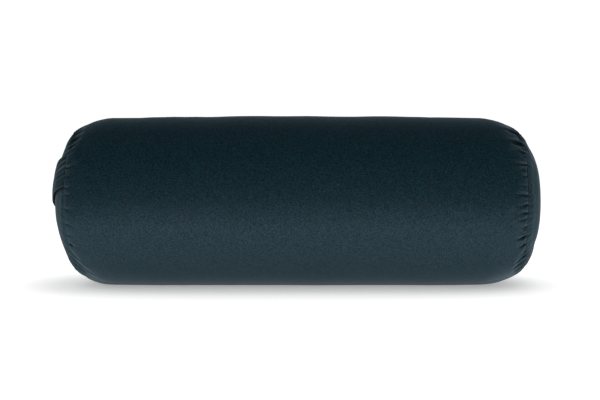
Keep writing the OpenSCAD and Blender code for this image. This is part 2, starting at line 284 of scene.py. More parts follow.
# ---------------------------------------------------------------------------
# Materials
# ---------------------------------------------------------------------------
class Nodes:
    def __init__(self, name):
        self.mat = bpy.data.materials.new(name)
        self.mat.use_nodes = True
        self.nt = self.mat.node_tree
        self.nt.nodes.clear()
        self.out = self.add("ShaderNodeOutputMaterial")
        self.bsdf = self.add("ShaderNodeBsdfPrincipled")
        self.link(self.bsdf.outputs[0], self.out.inputs["Surface"])

    def add(self, kind, **kw):
        n = self.nt.nodes.new(kind)
        for k, v in kw.items():
            setattr(n, k, v)
        return n

    def link(self, a, b):
        self.nt.links.new(a, b)

    def put(self, socket, v):
        if isinstance(v, bpy.types.NodeSocket):
            self.link(v, socket)
        else:
            socket.default_value = v

    def math(self, op, a, b=0.0, c=0.0, clamp=False):
        n = self.add("ShaderNodeMath", operation=op, use_clamp=clamp)
        self.put(n.inputs[0], a)
        self.put(n.inputs[1], b)
        if op in ("MULTIPLY_ADD", "SMOOTH_MIN", "SMOOTH_MAX", "WRAP", "COMPARE"):
            self.put(n.inputs[2], c)
        return n.outputs[0]

    def vec(self, op, a, b=(0, 0, 0)):
        n = self.add("ShaderNodeVectorMath", operation=op)
        self.put(n.inputs[0], a)
        if op == "SCALE":
            self.put(n.inputs["Scale"], b)
        else:
            self.put(n.inputs[1], b)
        return n.outputs["Value"] if op in ("DOT_PRODUCT", "LENGTH", "DISTANCE") else n.outputs["Vector"]

    def range(self, v, a, b, c, d, kind="SMOOTHSTEP"):
        n = self.add("ShaderNodeMapRange", interpolation_type=kind)
        self.put(n.inputs["Value"], v)
        for k, x in zip(("From Min", "From Max", "To Min", "To Max"), (a, b, c, d)):
            n.inputs[k].default_value = x
        return n.outputs["Result"]

    def mix(self, f, a, b, blend="MIX"):
        n = self.add("ShaderNodeMix", data_type="RGBA", blend_type=blend)
        self.put(n.inputs["Factor"], f)
        self.put(n.inputs["A"], a)
        self.put(n.inputs["B"], b)
        return n.outputs["Result"]

    def ramp(self, f, stops, kind="LINEAR"):
        n = self.add("ShaderNodeValToRGB")
        n.color_ramp.interpolation = kind
        e = n.color_ramp.elements
        while len(e) < len(stops):
            e.new(0.5)
        for i, (p, col) in enumerate(stops):
            e[i].position = p
            e[i].color = (*col, 1) if len(col) == 3 else col
        self.put(n.inputs["Fac"], f)
        return n.outputs["Color"]

    def noise(self, vector, scale, detail=2.0, rough=0.5, dist=0.0):
        n = self.add("ShaderNodeTexNoise")
        self.put(n.inputs["Vector"], vector)
        n.inputs["Scale"].default_value = scale
        n.inputs["Detail"].default_value = detail
        n.inputs["Roughness"].default_value = rough
        n.inputs["Distortion"].default_value = dist
        return n.outputs["Fac"]

    def voronoi(self, vector, scale, feature="F1", out="Distance", randomness=1.0):
        n = self.add("ShaderNodeTexVoronoi", feature=feature)
        self.put(n.inputs["Vector"], vector)
        n.inputs["Scale"].default_value = scale
        n.inputs["Randomness"].default_value = randomness
        return n.outputs[out]

    def wave(self, vector, scale, direction="X", dist=0.0, dscale=1.0, profile="SIN"):
        n = self.add("ShaderNodeTexWave", wave_type="BANDS", bands_direction=direction, wave_profile=profile)
        self.put(n.inputs["Vector"], vector)
        n.inputs["Scale"].default_value = scale
        n.inputs["Distortion"].default_value = dist
        n.inputs["Detail Scale"].default_value = dscale
        return n.outputs["Fac"]

    def bump(self, height, strength, distance, normal=None):
        n = self.add("ShaderNodeBump")
        n.inputs["Strength"].default_value = strength
        n.inputs["Distance"].default_value = distance
        self.put(n.inputs["Height"], height)
        if normal is not None:
            self.link(normal, n.inputs["Normal"])
        return n.outputs["Normal"]

    def set(self, **kw):
        for k, v in kw.items():
            self.put(self.bsdf.inputs[k.replace("_", " ")], v)


def rgb(v):
    n = v
    return (n[0], n[1], n[2], 1.0)


def velvet(name, seed_shift, lie=None, rim_sheen_gain=1.0, steep=(6.0, 5.0), rim=None):
    """Brushed pile fabric, with painted shade looking into the pile and painted sheen looking with it. The pile lies
    down round the cushion, or along one direction.
    """
    m = Nodes(name)
    geo = m.add("ShaderNodeNewGeometry")
    obj = m.add("ShaderNodeTexCoord").outputs["Object"]
    pos = m.vec("ADD", obj, seed_shift)
    if lie is None:
        along = m.vec("CROSS_PRODUCT", (1, 0, 0), geo.outputs["Normal"])
    else:
        proj = m.vec("SCALE", geo.outputs["Normal"], m.vec("DOT_PRODUCT", geo.outputs["Normal"], lie))
        along = m.vec("SUBTRACT", lie, proj)
    # the view against the pile's lie picks between painted shade and painted sheen
    nap = m.vec("DOT_PRODUCT", geo.outputs["Incoming"], along)
    # the pile is brushed unevenly, in soft patches longer round the cushion than along it
    stretched = m.vec("MULTIPLY", pos, (1.6, 1.0, 1.0))
    patch = m.noise(stretched, 16, 3, 0.55, 0.6)
    patch2 = m.noise(pos, 70, 3, 0.6, 0.3)
    lay = m.math("MULTIPLY_ADD", patch, 0.10, m.math("MULTIPLY_ADD", patch2, 0.07, nap))
    lay = m.math("SUBTRACT", lay, 0.085)
    f = m.math("MULTIPLY_ADD", lay, -0.5, 0.5, clamp=True)
    # lit and shaded tones of the one velvet colour, as painted shade and painted sheen
    stops = NAP_SHADE_AND_SHEEN
    col = m.ramp(f, stops, "LINEAR")
    # pile grain: single tufts catch the light or sit in shade
    g1 = m.noise(pos, 900, 2, 0.7)
    g2 = m.noise(pos, 330, 2, 0.6)
    g3 = m.noise(m.vec("ADD", pos, (0.7, 0.2, 0.4)), 2300, 1, 0.5)
    grain = m.math("ADD", m.range(g1, 0.3, 0.7, -0.54, 0.54, "LINEAR"), m.range(g2, 0.3, 0.7, -0.14, 0.14, "LINEAR"))
    grain = m.math("ADD", grain, m.range(g3, 0.3, 0.7, -0.36, 0.36, "LINEAR"))
    # the grain shows most where one looks into the pile, between the tufts
    grain = m.math("MULTIPLY", grain, m.range(f, 0.1, 0.8, 1.80, 0.95, "LINEAR"))
    grain = m.math("MAXIMUM", grain, -0.84)
    # tufts differ a little in dye as well: some teal, some greyer and warmer
    dye = m.range(m.noise(m.vec("ADD", pos, (0.31, 0.17, 0.53)), 520, 2, 0.6), 0.36, 0.64, -1.0, 1.0, "LINEAR")
    dye = m.math("MULTIPLY", dye, m.range(f, 0.1, 0.8, 2.1, 0.62, "LINEAR"))
    tint = m.add("ShaderNodeCombineXYZ")
    m.put(tint.inputs[0], m.math("MULTIPLY_ADD", dye, 0.30, m.math("ADD", 1.0, grain)))
    m.put(tint.inputs[1], m.math("MULTIPLY_ADD", dye, -0.05, m.math("ADD", 1.0, grain)))
    m.put(tint.inputs[2], m.math("MULTIPLY_ADD", dye, -0.02, m.math("ADD", 1.0, grain)))
    col = m.mix(1.0, col, tint.outputs[0], "MULTIPLY")
    # worn, slightly greyer pile on the proudest folds and the edges of the seam
    pointy = m.range(geo.outputs["Pointiness"], 0.51, 0.58, 0.0, 0.35)
    col = m.mix(pointy, col, rgb((0.040, 0.060, 0.070)))
    # lint: tiny pale specks, few and far between
    cell = m.voronoi(pos, 70, "F1", "Distance")
    keep = m.math("GREATER_THAN", m.noise(pos, 9, 2, 0.5), 0.56)
    speck = m.math("MULTIPLY", m.math("LESS_THAN", cell, 0.035), keep)
    col = m.mix(m.math("MULTIPLY", speck, 0.5), col, rgb((0.16, 0.19, 0.20)))
    # painted rim sheen: the colour is lightened toward a pale teal where the surface turns away
    facing = m.math("ABSOLUTE", m.vec("DOT_PRODUCT", geo.outputs["Incoming"], geo.outputs["Normal"]))
    edge = m.math("POWER", m.math("SUBTRACT", 1.0, facing, clamp=True), m.range(f, 0.1, 0.9, steep[0], steep[1], "LINEAR"))
    painted_rim_sheen = m.math("MULTIPLY", edge, m.range(f, 0.0, 1.0, PAINTED_RIM_SHEEN[0] * rim_sheen_gain, (rim or PAINTED_RIM_SHEEN[1]) * rim_sheen_gain, "LINEAR"), clamp=True)
    col = m.mix(painted_rim_sheen, col, m.mix(f, rgb((0.080, 0.128, 0.145)), rgb((0.106, 0.148, 0.172))))
    # painted shade in the bottom of a crease, and a painted highlight along its crest
    at = m.add("ShaderNodeAttribute", attribute_name="painted_shading")
    broken = m.range(g2, 0.3, 0.7, 0.75, 1.15, "LINEAR")
    dark = m.math("MULTIPLY", m.math("MULTIPLY", at.outputs["Fac"], CREASE_SHADE, clamp=True), broken, clamp=True)
    col = m.mix(dark, col, rgb((0.0030, 0.0048, 0.0060)))
    pale = m.math("MULTIPLY", m.math("MULTIPLY", at.outputs["Fac"], -CREST_HIGHLIGHT, clamp=True), broken, clamp=True)
    col = m.mix(pale, col, rgb((0.075, 0.105, 0.118)))
    height = m.math("MULTIPLY_ADD", g1, 0.5, m.math("MULTIPLY", g3, 0.25))
    height = m.math("ADD", height, m.math("MULTIPLY_ADD", g2, 1.0, m.math("MULTIPLY", patch2, 1.5)))
    nrm = m.bump(height, 0.35, 0.0006)
    m.set(Base_Color=col, Roughness=m.range(patch2, 0.3, 0.7, 0.86, 1.0, "LINEAR"), Normal=nrm)
    m.bsdf.inputs["Specular IOR Level"].default_value = 0.04
    m.bsdf.inputs["Sheen Weight"].default_value = 0.035
    m.bsdf.inputs["Sheen Roughness"].default_value = 0.35
    m.bsdf.inputs["Sheen Tint"].default_value = (0.75, 0.93, 1.0, 1.0)
    return m.mat


def _add_scalar(self, v):
    n = self.add("ShaderNodeCombineXYZ")
    for i in range(3):
        self.put(n.inputs[i], v)
    return n.outputs[0]


Nodes.add_scalar = _add_scalar

# painted nap shading: position 0 is looking into the pile (painted shade), 1 is looking with it (painted sheen)
NAP_SHADE_AND_SHEEN = [
    (0.08, (0.0020, 0.0100, 0.0143)),
    (0.24, (0.0036, 0.0143, 0.0196)),
    (0.42, (0.0074, 0.0208, 0.0274)),
    (0.50, (0.0108, 0.0252, 0.0334)),
    (0.66, (0.0240, 0.0445, 0.0580)),
    (0.90, (0.0248, 0.0460, 0.0595)),
]
# strength of the painted rim sheen, looking into and with the pile
PAINTED_RIM_SHEEN = (0.50, 4.2)
# strengths of the painted crease shade and the painted crest highlight
CREASE_SHADE = 0.90
CREST_HIGHLIGHT = 0.38


def thread_material():
    m = Nodes("thread_polyester")
    obj = m.add("ShaderNodeTexCoord").outputs["Object"]
    twist = m.wave(obj, 1400, "DIAGONAL", 1.0, 2.0)
    n = m.noise(obj, 500, 2)
    col = m.mix(twist, rgb((0.008, 0.022, 0.029)), rgb((0.024, 0.048, 0.060)))
    col = m.mix(m.math("MULTIPLY", n, 0.3), col, rgb((0.04, 0.07, 0.085)))
    m.set(Base_Color=col, Roughness=m.range(n, 0.3, 0.7, 0.5, 0.75, "LINEAR"), Normal=m.bump(twist, 0.6, 0.0002))
    m.bsdf.inputs["Sheen Weight"].default_value = 0.05
    m.bsdf.inputs["Specular IOR Level"].default_value = 0.25
    return m.mat


def tape_material():
    m = Nodes("zip_tape_twill")
    obj = m.add("ShaderNodeTexCoord").outputs["Object"]
    twill = m.wave(m.vec("MULTIPLY", obj, (1.0, 1.4, 1.4)), 420, "DIAGONAL", 0.4, 3.0)
    ribs = m.wave(obj, 620, "X", 0.3, 2.0)
    n = m.noise(obj, 260, 3)
    h = m.math("MULTIPLY_ADD", twill, 0.7, m.math("MULTIPLY", ribs, 0.4))
    col = m.mix(h, rgb((0.006, 0.016, 0.021)), rgb((0.018, 0.034, 0.043)))
    col = m.mix(m.math("MULTIPLY", n, 0.25), col, rgb((0.03, 0.05, 0.06)))
    m.set(Base_Color=col, Roughness=m.range(n, 0.3, 0.7, 0.7, 0.92, "LINEAR"), Normal=m.bump(h, 0.8, 0.0003))
    m.bsdf.inputs["Specular IOR Level"].default_value = 0.2
    return m.mat


def nylon_material():
    m = Nodes("zip_coil_nylon")
    obj = m.add("ShaderNodeTexCoord").outputs["Object"]
    n = m.noise(obj, 90, 3)
    n2 = m.noise(obj, 1400, 2)
    col = m.mix(n, rgb((0.007, 0.018, 0.023)), rgb((0.016, 0.031, 0.038)))
    col = m.mix(m.range(m.add("ShaderNodeNewGeometry").outputs["Pointiness"], 0.5, 0.6, 0, 0.35), col, rgb((0.06, 0.08, 0.09)))
    m.set(Base_Color=col, Roughness=m.range(n2, 0.3, 0.7, 0.28, 0.46, "LINEAR"), Normal=m.bump(n2, 0.2, 0.0001))
    m.bsdf.inputs["Specular IOR Level"].default_value = 0.45
    return m.mat


def metal_material():
    m = Nodes("zip_slider_enamel")
    geo = m.add("ShaderNodeNewGeometry")
    obj = m.add("ShaderNodeTexCoord").outputs["Object"]
    scratches = m.noise(m.vec("MULTIPLY", obj, (0.25, 1.0, 1.0)), 2600, 3, 0.7)
    blotch = m.noise(obj, 160, 3)
    edge = m.math("MULTIPLY", m.range(geo.outputs["Pointiness"], 0.52, 0.62, 0, 1), m.range(blotch, 0.35, 0.65, 0.2, 1.0))
    col = m.mix(blotch, rgb((0.012, 0.016, 0.018)), rgb((0.030, 0.036, 0.040)))
    col = m.mix(edge, col, rgb((0.42, 0.42, 0.43)))
    m.set(Base_Color=col, Roughness=m.range(scratches, 0.3, 0.7, 0.25, 0.48, "LINEAR"),
          Metallic=m.math("MULTIPLY", edge, 0.9, clamp=True), Normal=m.bump(scratches, 0.15, 0.0001))
    m.bsdf.inputs["Coat Weight"].default_value = 0.15
    return m.mat


def weave_material(name, light, dark, pitch, axis_round=True, fleck=0.3):
    """Plain weave from the panel's own along and round lengths (UV in metres)."""
    m = Nodes(name)
    uv = m.add("ShaderNodeTexCoord").outputs["UV"]
    obj = m.add("ShaderNodeTexCoord").outputs["Object"]
    wob = m.noise(uv, 40, 2, 0.5)
    warp = m.wave(uv, 1 / pitch / 2 * 1.0, "X", 0.6, 4.0)
    weft = m.wave(uv, 1 / pitch / 2 * 1.0, "Y", 0.6, 4.0)
    h = m.math("MULTIPLY_ADD", warp, 0.5, m.math("MULTIPLY", weft, 0.5))
    slub = m.noise(m.vec("MULTIPLY", uv, (20, 1, 1)), 60, 3, 0.6)
    stain = m.noise(obj, 11, 4, 0.55)
    col = m.mix(h, rgb(dark), rgb(light))
    col = m.mix(m.math("MULTIPLY", m.range(slub, 0.5, 0.75, 0, 1), fleck), col, rgb(tuple(x * 0.75 for x in dark)))
    col = m.mix(m.math("MULTIPLY", stain, 0.18), col, rgb((light[0] * 0.82, light[1] * 0.78, light[2] * 0.68)))
    m.set(Base_Color=col, Roughness=m.range(wob, 0.3, 0.7, 0.82, 0.95, "LINEAR"), Normal=m.bump(h, 0.6, 0.0003))
    m.bsdf.inputs["Specular IOR Level"].default_value = 0.15
    m.bsdf.inputs["Sheen Weight"].default_value = 0.1
    return m.mat


def fibre_material(name, light, dark, seeds):
    """Loose or felted fibre: crossed streaks, clumps and, for cotton, dark seed flecks."""
    m = Nodes(name)
    obj = m.add("ShaderNodeTexCoord").outputs["Object"]
    streak = m.noise(m.vec("MULTIPLY", obj, (0.2, 1, 1)), 420, 4, 0.65, 1.5)
    streak2 = m.noise(m.vec("MULTIPLY", obj, (1, 0.25, 1)), 380, 4, 0.65, 1.5)
    clump = m.noise(obj, 34, 4, 0.6, 0.8)
    h = m.math("MULTIPLY_ADD", streak, 0.6, m.math("MULTIPLY_ADD", streak2, 0.6, m.math("MULTIPLY", clump, 1.4)))
    col = m.mix(clump, rgb(dark), rgb(light))
    col = m.mix(m.range(streak, 0.45, 0.7, 0, 0.35), col, rgb((0.95, 0.94, 0.92)))
    if seeds:
        cell = m.math("LESS_THAN", m.voronoi(obj, 120), 0.05)
        col = m.mix(m.math("MULTIPLY", cell, 0.7), col, rgb((0.22, 0.16, 0.09)))
    m.set(Base_Color=col, Roughness=m.range(streak2, 0.3, 0.7, 0.88, 1.0, "LINEAR"), Normal=m.bump(h, 0.7, 0.0015))
    m.bsdf.inputs["Specular IOR Level"].default_value = 0.05
    m.bsdf.inputs["Sheen Weight"].default_value = 0.3
    m.bsdf.inputs["Subsurface Weight"].default_value = 0.0
    return m.mat


def label_material():
    m = Nodes("label_satin")
    obj = m.add("ShaderNodeTexCoord").outputs["Object"]
    ribs = m.wave(obj, 520, "X", 0.2, 2.0)
    n = m.noise(obj, 120, 3)
    col = m.mix(ribs, rgb((0.70, 0.69, 0.66)), rgb((0.86, 0.86, 0.84)))
    col = m.mix(m.math("MULTIPLY", n, 0.2), col, rgb((0.62, 0.60, 0.55)))
    m.set(Base_Color=col, Roughness=m.range(n, 0.3, 0.7, 0.32, 0.5, "LINEAR"), Normal=m.bump(ribs, 0.4, 0.0002))
    m.bsdf.inputs["Anisotropic"].default_value = 0.4
    return m.mat


M_BODY = velvet("cover_velvet", (0, 0, 0))
# the end panels and the strap differ from the body in the lie of their painted nap shade and in how strong their
# painted rim sheen is
M_ENDS = {
    1: velvet("end_velvet_right", (3.1, 5.7, 1.9), lie=(0, 0, -1), steep=(6.0, 3.8), rim=1.1),
    -1: velvet("end_velvet_left", (11.9, 8.3, 4.7), lie=(0, 0.0, -1.0), rim_sheen_gain=0.62, steep=(6.0, 3.8), rim=1.1),
}
M_STRAP = velvet("strap_velvet", (7.3, 2.9, 5.1), lie=(0, -0.30, -0.95), rim_sheen_gain=0.62, steep=(6.0, 3.8), rim=1.1)
M_THREAD = thread_material()
M_TAPE = tape_material()
M_COIL = nylon_material()
M_METAL = metal_material()
M_CALICO = weave_material("liner_calico", (0.80, 0.76, 0.67), (0.60, 0.56, 0.47), 0.0009)
M_BATT = fibre_material("core_cotton_batting", (0.86, 0.83, 0.77), (0.70, 0.66, 0.58), True)
M_WAD = fibre_material("fibre_wadding", (0.93, 0.93, 0.92), (0.80, 0.80, 0.79), False)
M_LABEL = label_material()


# ---------------------------------------------------------------------------
# Cover tube
# ---------------------------------------------------------------------------
def half_outline(c, ds):
    """Outline points of one half, from the seam (d = 0) to the middle: x, r, nx, nr."""
    a = c["sa"] + np.minimum(ds, c["arc"]) / c["S"]
    x = c["hx"] + c["S"] * np.cos(a) - np.maximum(ds - c["arc"], 0)
    r = c["hub"] + c["S"] * np.sin(a)
    return x, r, np.cos(a), np.sin(a)


def round_grid():
    """Angles round the cushion, with lines along both edges of the zip opening."""
    half = SLOT / COVER["R"]
    n = N_ROUND - 4
    a = ZIP_PHI + half + np.arange(n + 1) / n * (2 * math.pi - 2 * half)
    b = ZIP_PHI - half + np.arange(1, 4) / 4 * 2 * half + 2 * math.pi
    return np.concatenate([a, b]), n


def build_cover_tube():
    c = COVER
    lip_d = LIP * (1 - np.cos(np.linspace(0, math.pi / 2, 5)))
    sh = LIP + (c["arc"] - LIP) * np.linspace(0, 1, 31)[1:] ** 1.2
    zip_d = c["arc"] + c["hx"] - ZIP_HALF
    mid = zip_d + (c["arc"] + c["hx"] - zip_d) * np.linspace(0, 1, 17)
    ds = np.concatenate([lip_d, sh, mid])
    deep = np.array([6.5, 4.5, 2.8])
    x, r, nx, nr = half_outline(c, ds)
    phis, slot_at = round_grid()
    P = np.broadcast_to(phis, (len(ds), len(phis)))
    bis = np.array([math.cos(c["sa"]) + math.cos(c["da"]), math.sin(c["sa"]) + math.sin(c["da"])])
    bis /= np.linalg.norm(bis)
    halves, creases = {}, {}
    for side in (-1, 1):
        D = np.broadcast_to(ds[:, None], P.shape)
        X, R = np.broadcast_to(x[:, None], P.shape), np.broadcast_to(r[:, None], P.shape)
        NX, NR = np.broadcast_to(nx[:, None], P.shape), np.broadcast_to(nr[:, None], P.shape)
        h, painted_shading = gathers(side, D, P)
        rows, field = tube_puff(side)
        field = resample(field, phis / (2 * math.pi))
        if side < 0:
            # the seam under the handle's front end is pulled smooth
            field = field * (1 - 0.8 * smooth(-48, -36, wrap(phis) / D2R) * smooth(34, 20, wrap(phis) / D2R))
        h = h + np.stack([np.interp(ds, rows, field[:, k]) for k in range(len(phis))], 1) * smooth(0.5, 4, D)
        h = h + lip(D) * (1 if side > 0 else 0.6) + 0.6 * np.exp(-((D / 16) ** 2))
        ramp = smooth(4, 60, D)
        h = h + 0.20 * ramp * waves(side * X, P, 5, 18, 5, 90, 300)
        h = h + 0.08 * smooth(6, 40, D) * waves(side * X, P, 9, 26, 13, 26, 80)
        # the slight pull of the zip: flat tape under a raised folded edge
        y = wrap(P - ZIP_PHI) * c["R"]
        along = 1 - smooth(ZIP_HALF - 2, ZIP_HALF + 14, np.abs(X))
        h = h + along * (0.5 * np.exp(-(((np.abs(y) - 7.0) / 1.1) ** 2)) - 0.55 * np.exp(-(((np.abs(y) - 9.0) / 0.9) ** 2))
                         + 0.35 * np.exp(-(((np.abs(y) - 12.5) / 2.2) ** 2)))
        # seam line wanders a little
        wander = 0.5 * waves(np.zeros_like(P), P, 31 + side, 10, 22, 50, 90) * np.exp(-((D / 22) ** 2))
        X2 = X - nr[:, None] * wander * 1.0
        R2 = R + nx[:, None] * wander * 1.0
        V = place(X2, R2, P, NX, NR, h)
        edge_x, edge_r = X2[0], R2[0]
        h0 = h[0]
        rows = []
        for t in deep:
            hh = h0 - (t - LIP)
            rows.append(place(edge_x - 0.25 * bis[1], edge_r + 0.25 * bis[0], P[0], np.full_like(P[0], bis[0]), np.full_like(P[0], bis[1]), hh * 1.0))
        V = np.concatenate([np.stack(rows), V])
        V[..., 0] *= side
        halves[side] = V
        # painted highlight along the rolled edge beside the seam, and painted shade on the turned-in allowance rows
        painted_shading = painted_shading - (0.55 if side > 0 else 0.3) * np.exp(-(((D - 1.7) / 0.9) ** 2)) * (1 - np.clip(painted_shading * 2, 0, 1))
        creases[side] = np.concatenate([np.full((len(deep), P.shape[1]), 0.9), painted_shading])
    left, right = halves[-1], halves[1]
    V = np.concatenate([left, right[::-1][1:]])
    painted_shading = np.concatenate([creases[-1], creases[1][::-1][1:]])
    rows_x = np.concatenate([-x, x[::-1][1:]])
    pad = len(deep)
    rows_x = np.concatenate([[-c["sx"]] * pad, rows_x, [c["sx"]] * pad])
    nu, nv = V.shape[:2]
    skip = np.zeros((nu, nv), bool)
    for i in range(nu - 1):
        if rows_x[i] > -ZIP_HALF - 0.01 and rows_x[i + 1] < ZIP_HALF + 0.01:
            skip[i, slot_at:] = True
    V = V.reshape(-1, 3)
    faces = grid_faces(nu, nv, True, skip)
    used = np.zeros(len(V), bool)
    used[np.array(faces).ravel()] = True
    remap = np.cumsum(used) - 1
    faces = [tuple(int(remap[k]) for k in f) for f in faces]
    s_row = np.concatenate([[0] * pad, ds, (2 * ds[-1] - ds[::-1])[1:], [2 * ds[-1]] * pad])
    uv = np.stack(np.broadcast_arrays(s_row[:, None], (phis * c["R"])[None, :]), -1).reshape(-1, 2)[used]
    V = V[used]
    ob = mesh_object("cover_tube_fabric", deform(V), faces, uv)
    mark(ob, painted_shading.reshape(-1)[used])
    return ob


def puff(name, P, faces, pin, slack, pressure, frames=16, ease=0.035):
    """A short cloth simulation: the slack fabric near the seam buckles and blows out. Gives how far each point (mm) moved."""
    P = np.asarray(P, float)
    ob = mesh_object(name, P, faces)
    vg, sg = ob.vertex_groups.new(name="pin"), ob.vertex_groups.new(name="taut")
    for group, weight in ((vg, pin), (sg, 1 - np.asarray(slack))):
        order = np.round(weight, 2)
        for w in np.unique(order):
            if w > 0:
                group.add(np.nonzero(order == w)[0].tolist(), float(w), "REPLACE")
    cl = ob.modifiers.new("cloth", "CLOTH")
    q = cl.settings
    q.quality = 4
    q.mass = 0.25
    q.tension_stiffness = 20
    q.compression_stiffness = 8
    q.shear_stiffness = 6
    q.bending_stiffness = 0.35
    q.shrink_min = -ease
    q.shrink_max = 0.0
    q.vertex_group_shrink = "taut"
    q.use_pressure = True
    q.uniform_pressure_force = pressure
    q.vertex_group_mass = "pin"
    q.pin_stiffness = 5
    q.effector_weights.gravity = 0
    cl.collision_settings.use_collision = False
    cl.point_cache.frame_start = 1
    cl.point_cache.frame_end = frames
    sc = bpy.context.scene
    for f in range(1, frames + 1):
        sc.frame_set(f)
    apply_modifiers(ob)
    sc.frame_set(1)
    co = np.zeros(len(ob.data.vertices) * 3, np.float32)
    ob.data.vertices.foreach_get("co", co)
    me = ob.data
    bpy.data.objects.remove(ob)
    bpy.data.meshes.remove(me)
    return co.reshape(-1, 3) * 1000.0 - P


def resample(rows, turns):
    """Periodic rows read off at fractions of a turn, with a smooth curve through the samples."""
    n = rows.shape[1]
    t = (np.asarray(turns) % 1.0) * n
    i = np.floor(t).astype(int)
    f = t - i
    p = [rows[:, (i + k) % n] for k in (-1, 0, 1, 2)]
    return p[1] + 0.5 * f * (p[2] - p[0] + f * (2 * p[0] - 5 * p[1] + 4 * p[2] - p[3] + f * (3 * (p[1] - p[2]) + p[3] - p[0])))


PUFF_CAP = 0.7


def tube_puff(side):
    """Small puckers of the tube near one seam: rows of distance from the seam, and heights round the cushion."""
    c = COVER
    n = 380
    ds = np.concatenate([[0.0, 1.0], np.arange(2.5, 40, 2.0), np.arange(42, 100, 3.5)])
    x, r, nx, nr = half_outline(c, ds)
    P = np.broadcast_to(2 * math.pi * np.arange(n) / n, (len(ds), n))
    D = np.broadcast_to(ds[:, None], P.shape)
    h = gathers(side, D, P)[0] * 0.7
    cols = [np.broadcast_to(v[:, None], P.shape) for v in (x, r, nx, nr)]
    V = place(cols[0], cols[1], P, cols[2], cols[3], h).reshape(-1, 3)
    pin = (1 - smooth(0.5, 4.0, D)) + smooth(85, 97, D)
    move = puff("tube_sim", V, grid_faces(len(ds), n), np.clip(pin, 0, 1).ravel(), (1 - smooth(8, 30, D)).ravel(), 2.0)
    nrm = place(cols[2], cols[3], P, 0 * cols[2], 0 * cols[3], 0).reshape(-1, 3) - np.array([0, 0, AX])
    out = (move * nrm).sum(1).reshape(len(ds), n)
    out = out - out.mean(1, keepdims=True)
    return ds, PUFF_CAP * np.tanh(out / PUFF_CAP) * (1 - 0.8 * smooth(12, 40, ds))[:, None] * (1 - smooth(60, 95, ds))[:, None]


def end_puff(side, n):
    """Small puckers of an end panel, on its own grid of points."""
    c = COVER
    m = n // 2
    rho, phi, faces = disc_grid(m)
    rho, phi = rho.ravel(), phi.ravel()
    L = c["dR"] * c["da"]
    d = L * (1 - rho * 0.5 - (1 - (1 - rho) ** 1.25) * 0.5)
    a = (L - d) / c["dR"]
    h = gathers(side, d * 1.5, phi, 0.8, 0.28, 0.45)[0]
    V = place(c["dx"] + c["dR"] * np.cos(a), c["dR"] * np.sin(a), phi, np.cos(a), np.sin(a), h)
    c0 = np.cross(V[faces[m * (m // 2) + m // 2][1]] - V[faces[m * (m // 2) + m // 2][0]],
                  V[faces[m * (m // 2) + m // 2][2]] - V[faces[m * (m // 2) + m // 2][1]])
    if c0[0] < 0:
        faces = [f[::-1] for f in faces]
    move = puff("end_sim", V, faces, 1 - smooth(0.5, 4.0, d), 1 - smooth(6, 24, d), 2.0)
    nrm = np.stack([np.cos(a), -np.sin(a) * np.cos(phi), np.sin(a) * np.sin(phi)], -1)
    out = (move * nrm).sum(1)
    out = (out - np.average(out[d > 30])) * smooth(0.5, 8, d)
    out = 0.8 * PUFF_CAP * np.tanh(out / PUFF_CAP) * (1 - 0.6 * smooth(10, 34, d))
    g = out.reshape(m + 1, m + 1)
    i = np.arange(n + 1) / 2
    lo = np.minimum(i.astype(int), m - 1)
    f = i - lo
    g = g[lo] * (1 - f)[:, None] + g[lo + 1] * f[:, None]
    g = g[:, lo] * (1 - f)[None, :] + g[:, lo + 1] * f[None, :]
    return g.ravel()


tube = build_cover_tube()
outward(tube)
thicken(tube, 1.2)
finish_piece(tube, "cushion", M_BODY, "cover_fabric", "cover_tube")


# ---------------------------------------------------------------------------
# Domed end panels
# ---------------------------------------------------------------------------
def disc_grid(n):
    """A square grid bent into a disc: unit radius and angle of every point, and its faces."""
    u = np.linspace(-1, 1, n + 1)
    a, b = np.meshgrid(u, u, indexing="ij")
    swap = np.abs(a) > np.abs(b)
    r = np.where(swap, a, b)
    safe = np.where(np.abs(r) < 1e-12, 1, r)
    th = np.where(swap, (math.pi / 4) * (b / safe), math.pi / 2 - (math.pi / 4) * (a / safe))
    px, py = r * np.cos(th), r * np.sin(th)
    return np.hypot(px, py), np.arctan2(py, px), grid_faces(n + 1, n + 1, False)


def end_height(side, rho, d, phi):
    """The end panel's own crown, dents and slack, before its gathers."""
    deg = (COVER["da"] - d / COVER["dR"]) / D2R
    if side > 0:
        h = 0.6 + 1.9 * np.exp(-(((deg - 24) / 10) ** 2)) - 2.0 * np.exp(-((deg / 13) ** 2))
    else:
        h = 0.4 + 0.9 * np.exp(-(((deg - 24) / 10) ** 2)) - 1.2 * np.exp(-((deg / 13) ** 2))
    h = h + 0.8 * np.exp(-(((d - 9) / 7) ** 2)) - 0.2 * np.exp(-(((deg - 38) / 3) ** 2))
    soft = smooth(2, 30, d)
    h = h + soft * 0.5 * waves(rho * 80 * np.cos(phi), 0 * phi, 77 + side, 9, 0, 60, 200)
    h = h + soft * 0.5 * waves(rho * 80 * np.sin(phi), 0 * phi, 87 + side, 9, 0, 60, 200)
    # broad shallow dents that run in from the seam
    g = np.random.default_rng(40 + side)
    for _ in range(9):
        p0, w, dep, reach = g.uniform(-math.pi, math.pi), g.uniform(0.10, 0.24), g.uniform(0.4, 1.2), g.uniform(25, 60)
        h = h - dep * np.exp(-((wrap(phi - p0) / w) ** 2)) * (1 - smooth(0, reach, d)) * smooth(0, 4, d)
    return h


